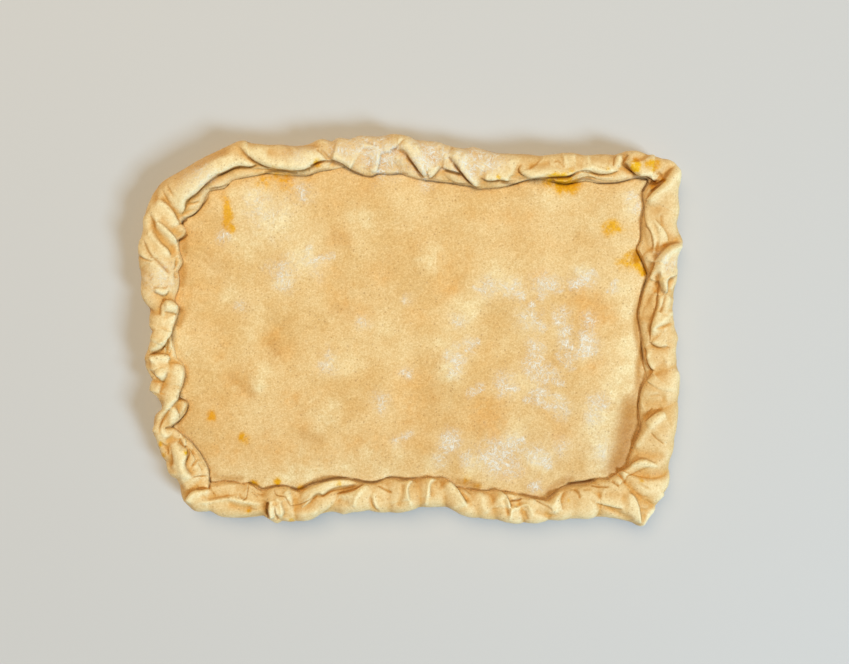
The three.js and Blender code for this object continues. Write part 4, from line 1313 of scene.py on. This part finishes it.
def noise(tree, place, scale, detail, roughness):
    """Output of a noise texture."""
    inputs = {"Vector": place, "Scale": scale, "Detail": detail, "Roughness": roughness}
    return add_node(tree, "ShaderNodeTexNoise", inputs).outputs[0]


def painted(tree, name):
    """Output that gives a named value of the mesh."""
    return add_node(tree, "ShaderNodeAttribute", {}, attribute_name=name).outputs["Fac"]


def specks(tree, place, scale, shift, share, size):
    """Small round specks in some of the cells of a loose pattern: how much each point is in one."""
    moved = add_node(tree, "ShaderNodeVectorMath", {0: place, 1: shift}, operation="ADD").outputs[0]
    cells = add_node(tree, "ShaderNodeTexVoronoi", {"Vector": moved, "Scale": scale})
    channels = add_node(tree, "ShaderNodeSeparateColor", {0: cells.outputs["Color"]})
    chosen = sums(tree, "LESS_THAN", channels.outputs[0], share)
    inside = between(tree, cells.outputs["Distance"], size * SPECK_CORE, size, 1, 0)
    return sums(tree, "MULTIPLY", chosen, inside)


def fibres(tree, place, scale):
    """Short fibres in three directions: how much of one shows at each point, about 0.5 to 0.75."""
    most = 0.0
    for turn in FIBRE_TURNS:
        inputs = {"Vector": place, "Rotation": (0, 0, turn), "Scale": (FIBRE_STRETCH, 1, 1)}
        along = add_node(tree, "ShaderNodeMapping", inputs, vector_type="TEXTURE").outputs[0]
        most = sums(tree, "MAXIMUM", most, noise(tree, along, scale, FIBRE_DETAIL, FIBRE_ROUGHNESS))
    return most


def toned(tree, colour, value, share, tone):
    """A colour turned partly to a tone, by a share of a value."""
    return mixed(tree, sums(tree, "MULTIPLY", value, share, True), colour, linear(tone))


def grained(tree, place, colour):
    """A colour with the fine grain of the dough in it."""
    grain = sums(tree, "ADD", noise(tree, place, *GRAIN_NOISE), fibres(tree, place, GRAIN_FIBRES))
    change = sums(tree, "SUBTRACT", between(tree, grain, *GRAIN_RANGE), 1)
    calm = sums(tree, "ADD", 1, sums(tree, "MULTIPLY", painted(tree, "grain"), change))
    tints = {channel: sums(tree, "POWER", calm, power) for channel, power in enumerate(GRAIN_TINT)}
    tinted = add_node(tree, "ShaderNodeCombineColor", tints).outputs[0]
    return mixed(tree, 1.0, colour, tinted, "MULTIPLY")


def dough_colour(tree, place, flour, oil):
    """Colour of the dough: uneven wheat tones, grain, bran, oil, flour on top, and painted shade in
    creases.
    """
    broad = between(tree, noise(tree, place, *BROAD_NOISE), *BROAD_RANGE)
    colour = mixed(tree, broad, linear(PALE_DOUGH), linear(WARM_DOUGH))
    # Warm and pale dabs: the dough's own tones, with painted shade and painted light among them.
    colour = toned(tree, colour, painted(tree, "tan"), TAN_SHARE, AMBER_DOUGH)
    colour = toned(tree, colour, painted(tree, "pale"), PALE_SHARE, CREAM_DOUGH)
    # Tan in hollows and cream on crests: partly moist and floured dough, partly painted shade and painted
    # highlight.
    hollow = painted(tree, "hollow")
    colour = toned(tree, colour, hollow, HOLLOW_SHARE, TAN_DOUGH)
    colour = toned(tree, colour, hollow, -CREST_SHARE, CREAM_DOUGH)
    colour = grained(tree, place, colour)
    bran = sums(tree, "MAXIMUM", specks(tree, place, *SMALL_SPECKS), specks(tree, place, *LARGE_SPECKS))
    colour = toned(tree, colour, bran, BRAN_SHARE, BRAN)
    colour = mixed(tree, oil, colour, linear(OIL_TINT), "MULTIPLY")
    colour = toned(tree, colour, flour, FLOUR_SHARE, FLOURED)
    # Painted shade, brown, in creases, gaps, under flap edges, along the meeting line and in low parts of
    # the lid.
    return toned(tree, colour, painted(tree, "painted_shade"), SHADE_SHARE, SHADE_BROWN)


def dough_material():
    """Raw wheat dough, floured and in places soaked with oil."""
    material = bpy.data.materials.new("dough")
    material.use_nodes = True
    tree = material.node_tree
    shader = tree.nodes["Principled BSDF"]
    place = add_node(tree, "ShaderNodeTexCoord", {}).outputs["Object"]
    powder = between(tree, fibres(tree, place, POWDER_FIBRES), *POWDER_RANGE)
    flour = sums(tree, "MULTIPLY", painted(tree, "flour"), powder, True)
    blots = between(tree, noise(tree, place, *BLOT_NOISE), *BLOT_RANGE)
    oil = between(tree, sums(tree, "MULTIPLY", painted(tree, "oil"), blots), *OIL_RANGE)
    tree.links.new(dough_colour(tree, place, flour, oil), shader.inputs["Base Color"])
    wet = sums(tree, "MULTIPLY", oil, OIL_SMOOTHNESS)
    dry = sums(tree, "MULTIPLY", flour, FLOUR_ROUGHNESS)
    rough = sums(tree, "SUBTRACT", sums(tree, "ADD", ROUGHNESS, dry), wet)
    tree.links.new(rough, shader.inputs["Roughness"])
    bumps = sums(tree, "ADD", noise(tree, place, *BUMP_NOISE), sums(tree, "MULTIPLY", powder, flour))
    inputs = {"Height": bumps, "Strength": BUMP_STRENGTH, "Distance": BUMP_HEIGHT}
    tree.links.new(add_node(tree, "ShaderNodeBump", inputs).outputs[0], shader.inputs["Normal"])
    shader.inputs["Specular IOR Level"].default_value = SPECULAR
    return material


def floor_object():
    """A plain pale floor at the level of the underside."""
    corners = [(x * FLOOR_HALF, y * FLOOR_HALF, 0) for x, y in ((-1, -1), (1, -1), (1, 1), (-1, 1))]
    mesh = bpy.data.meshes.new("floor")
    mesh.from_pydata(corners, [], [(0, 1, 2, 3)])
    material = bpy.data.materials.new("floor")
    material.use_nodes = True
    shader = material.node_tree.nodes["Principled BSDF"]
    shader.inputs["Base Color"].default_value = linear(FLOOR)
    shader.inputs["Roughness"].default_value = FLOOR_ROUGHNESS
    mesh.materials.append(material)
    floor = bpy.data.objects.new("floor", mesh)
    bpy.context.scene.collection.objects.link(floor)


def camera_object(shift):
    """The camera, straight over the part."""
    data = bpy.data.cameras.new("camera")
    data.sensor_width = SENSOR_WIDTH
    data.lens = PICTURE_DISTANCE / PICTURE_WIDTH * SENSOR_WIDTH
    camera = bpy.data.objects.new("camera", data)
    camera.location = [value * MM for value in CAMERA_PLACE]
    camera.location.x += shift[0]
    camera.location.y += shift[1]
    bpy.context.scene.collection.objects.link(camera)
    bpy.context.scene.camera = camera


def area_light(name, place, size, power, colour):
    """A soft square light that faces the origin."""
    data = bpy.data.lights.new(name, "AREA")
    data.size = size
    data.energy = power
    data.color = colour
    light = bpy.data.objects.new(name, data)
    light.location = place
    light.rotation_mode = "QUATERNION"
    light.rotation_quaternion = (-light.location).to_track_quat("-Z", "Y")
    bpy.context.scene.collection.objects.link(light)


def lights():
    """A soft cool key from the right front, warm light from the left back, and a pale surround."""
    area_light("key", *KEY_LIGHT)
    area_light("fill", *FILL_LIGHT)
    world = bpy.data.worlds.new("world")
    world.use_nodes = True
    surround = world.node_tree.nodes["Background"]
    surround.inputs["Color"].default_value = SURROUND
    surround.inputs["Strength"].default_value = SURROUND_STRENGTH
    bpy.context.scene.world = world
    bpy.context.scene.view_settings.view_transform = "Standard"


def middle_of(things):
    """Middle of the box round some mesh objects, in plan."""
    corners = np.array([corner for thing in things for corner in thing.bound_box])
    return (corners.min(axis=0) + corners.max(axis=0))[:2] / 2


def move_in_plan(piece, shift):
    """Moves the points of a piece in plan."""
    vertices = piece.data.vertices
    places = np.zeros(len(vertices) * 3)
    vertices.foreach_get("co", places)
    places = places.reshape(-1, 3) + [shift[0], shift[1], 0]
    vertices.foreach_set("co", places.ravel())
    piece.data.update()


def main():
    """Builds the part over its solid, then the floor, camera and lights."""
    pieces = [rim_object(), lid_object()]
    bpy.context.view_layer.update()
    low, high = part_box("empanada")
    shift = np.array([low.x + high.x, low.y + high.y]) / 2 - middle_of(pieces)
    material = dough_material()
    for piece in pieces:
        move_in_plan(piece, shift)
        piece.data.materials.append(material)
        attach(piece, "root")
        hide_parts("empanada")
    floor_object()
    camera_object(shift)
    lights()


main()

bpy.context.view_layer.update()
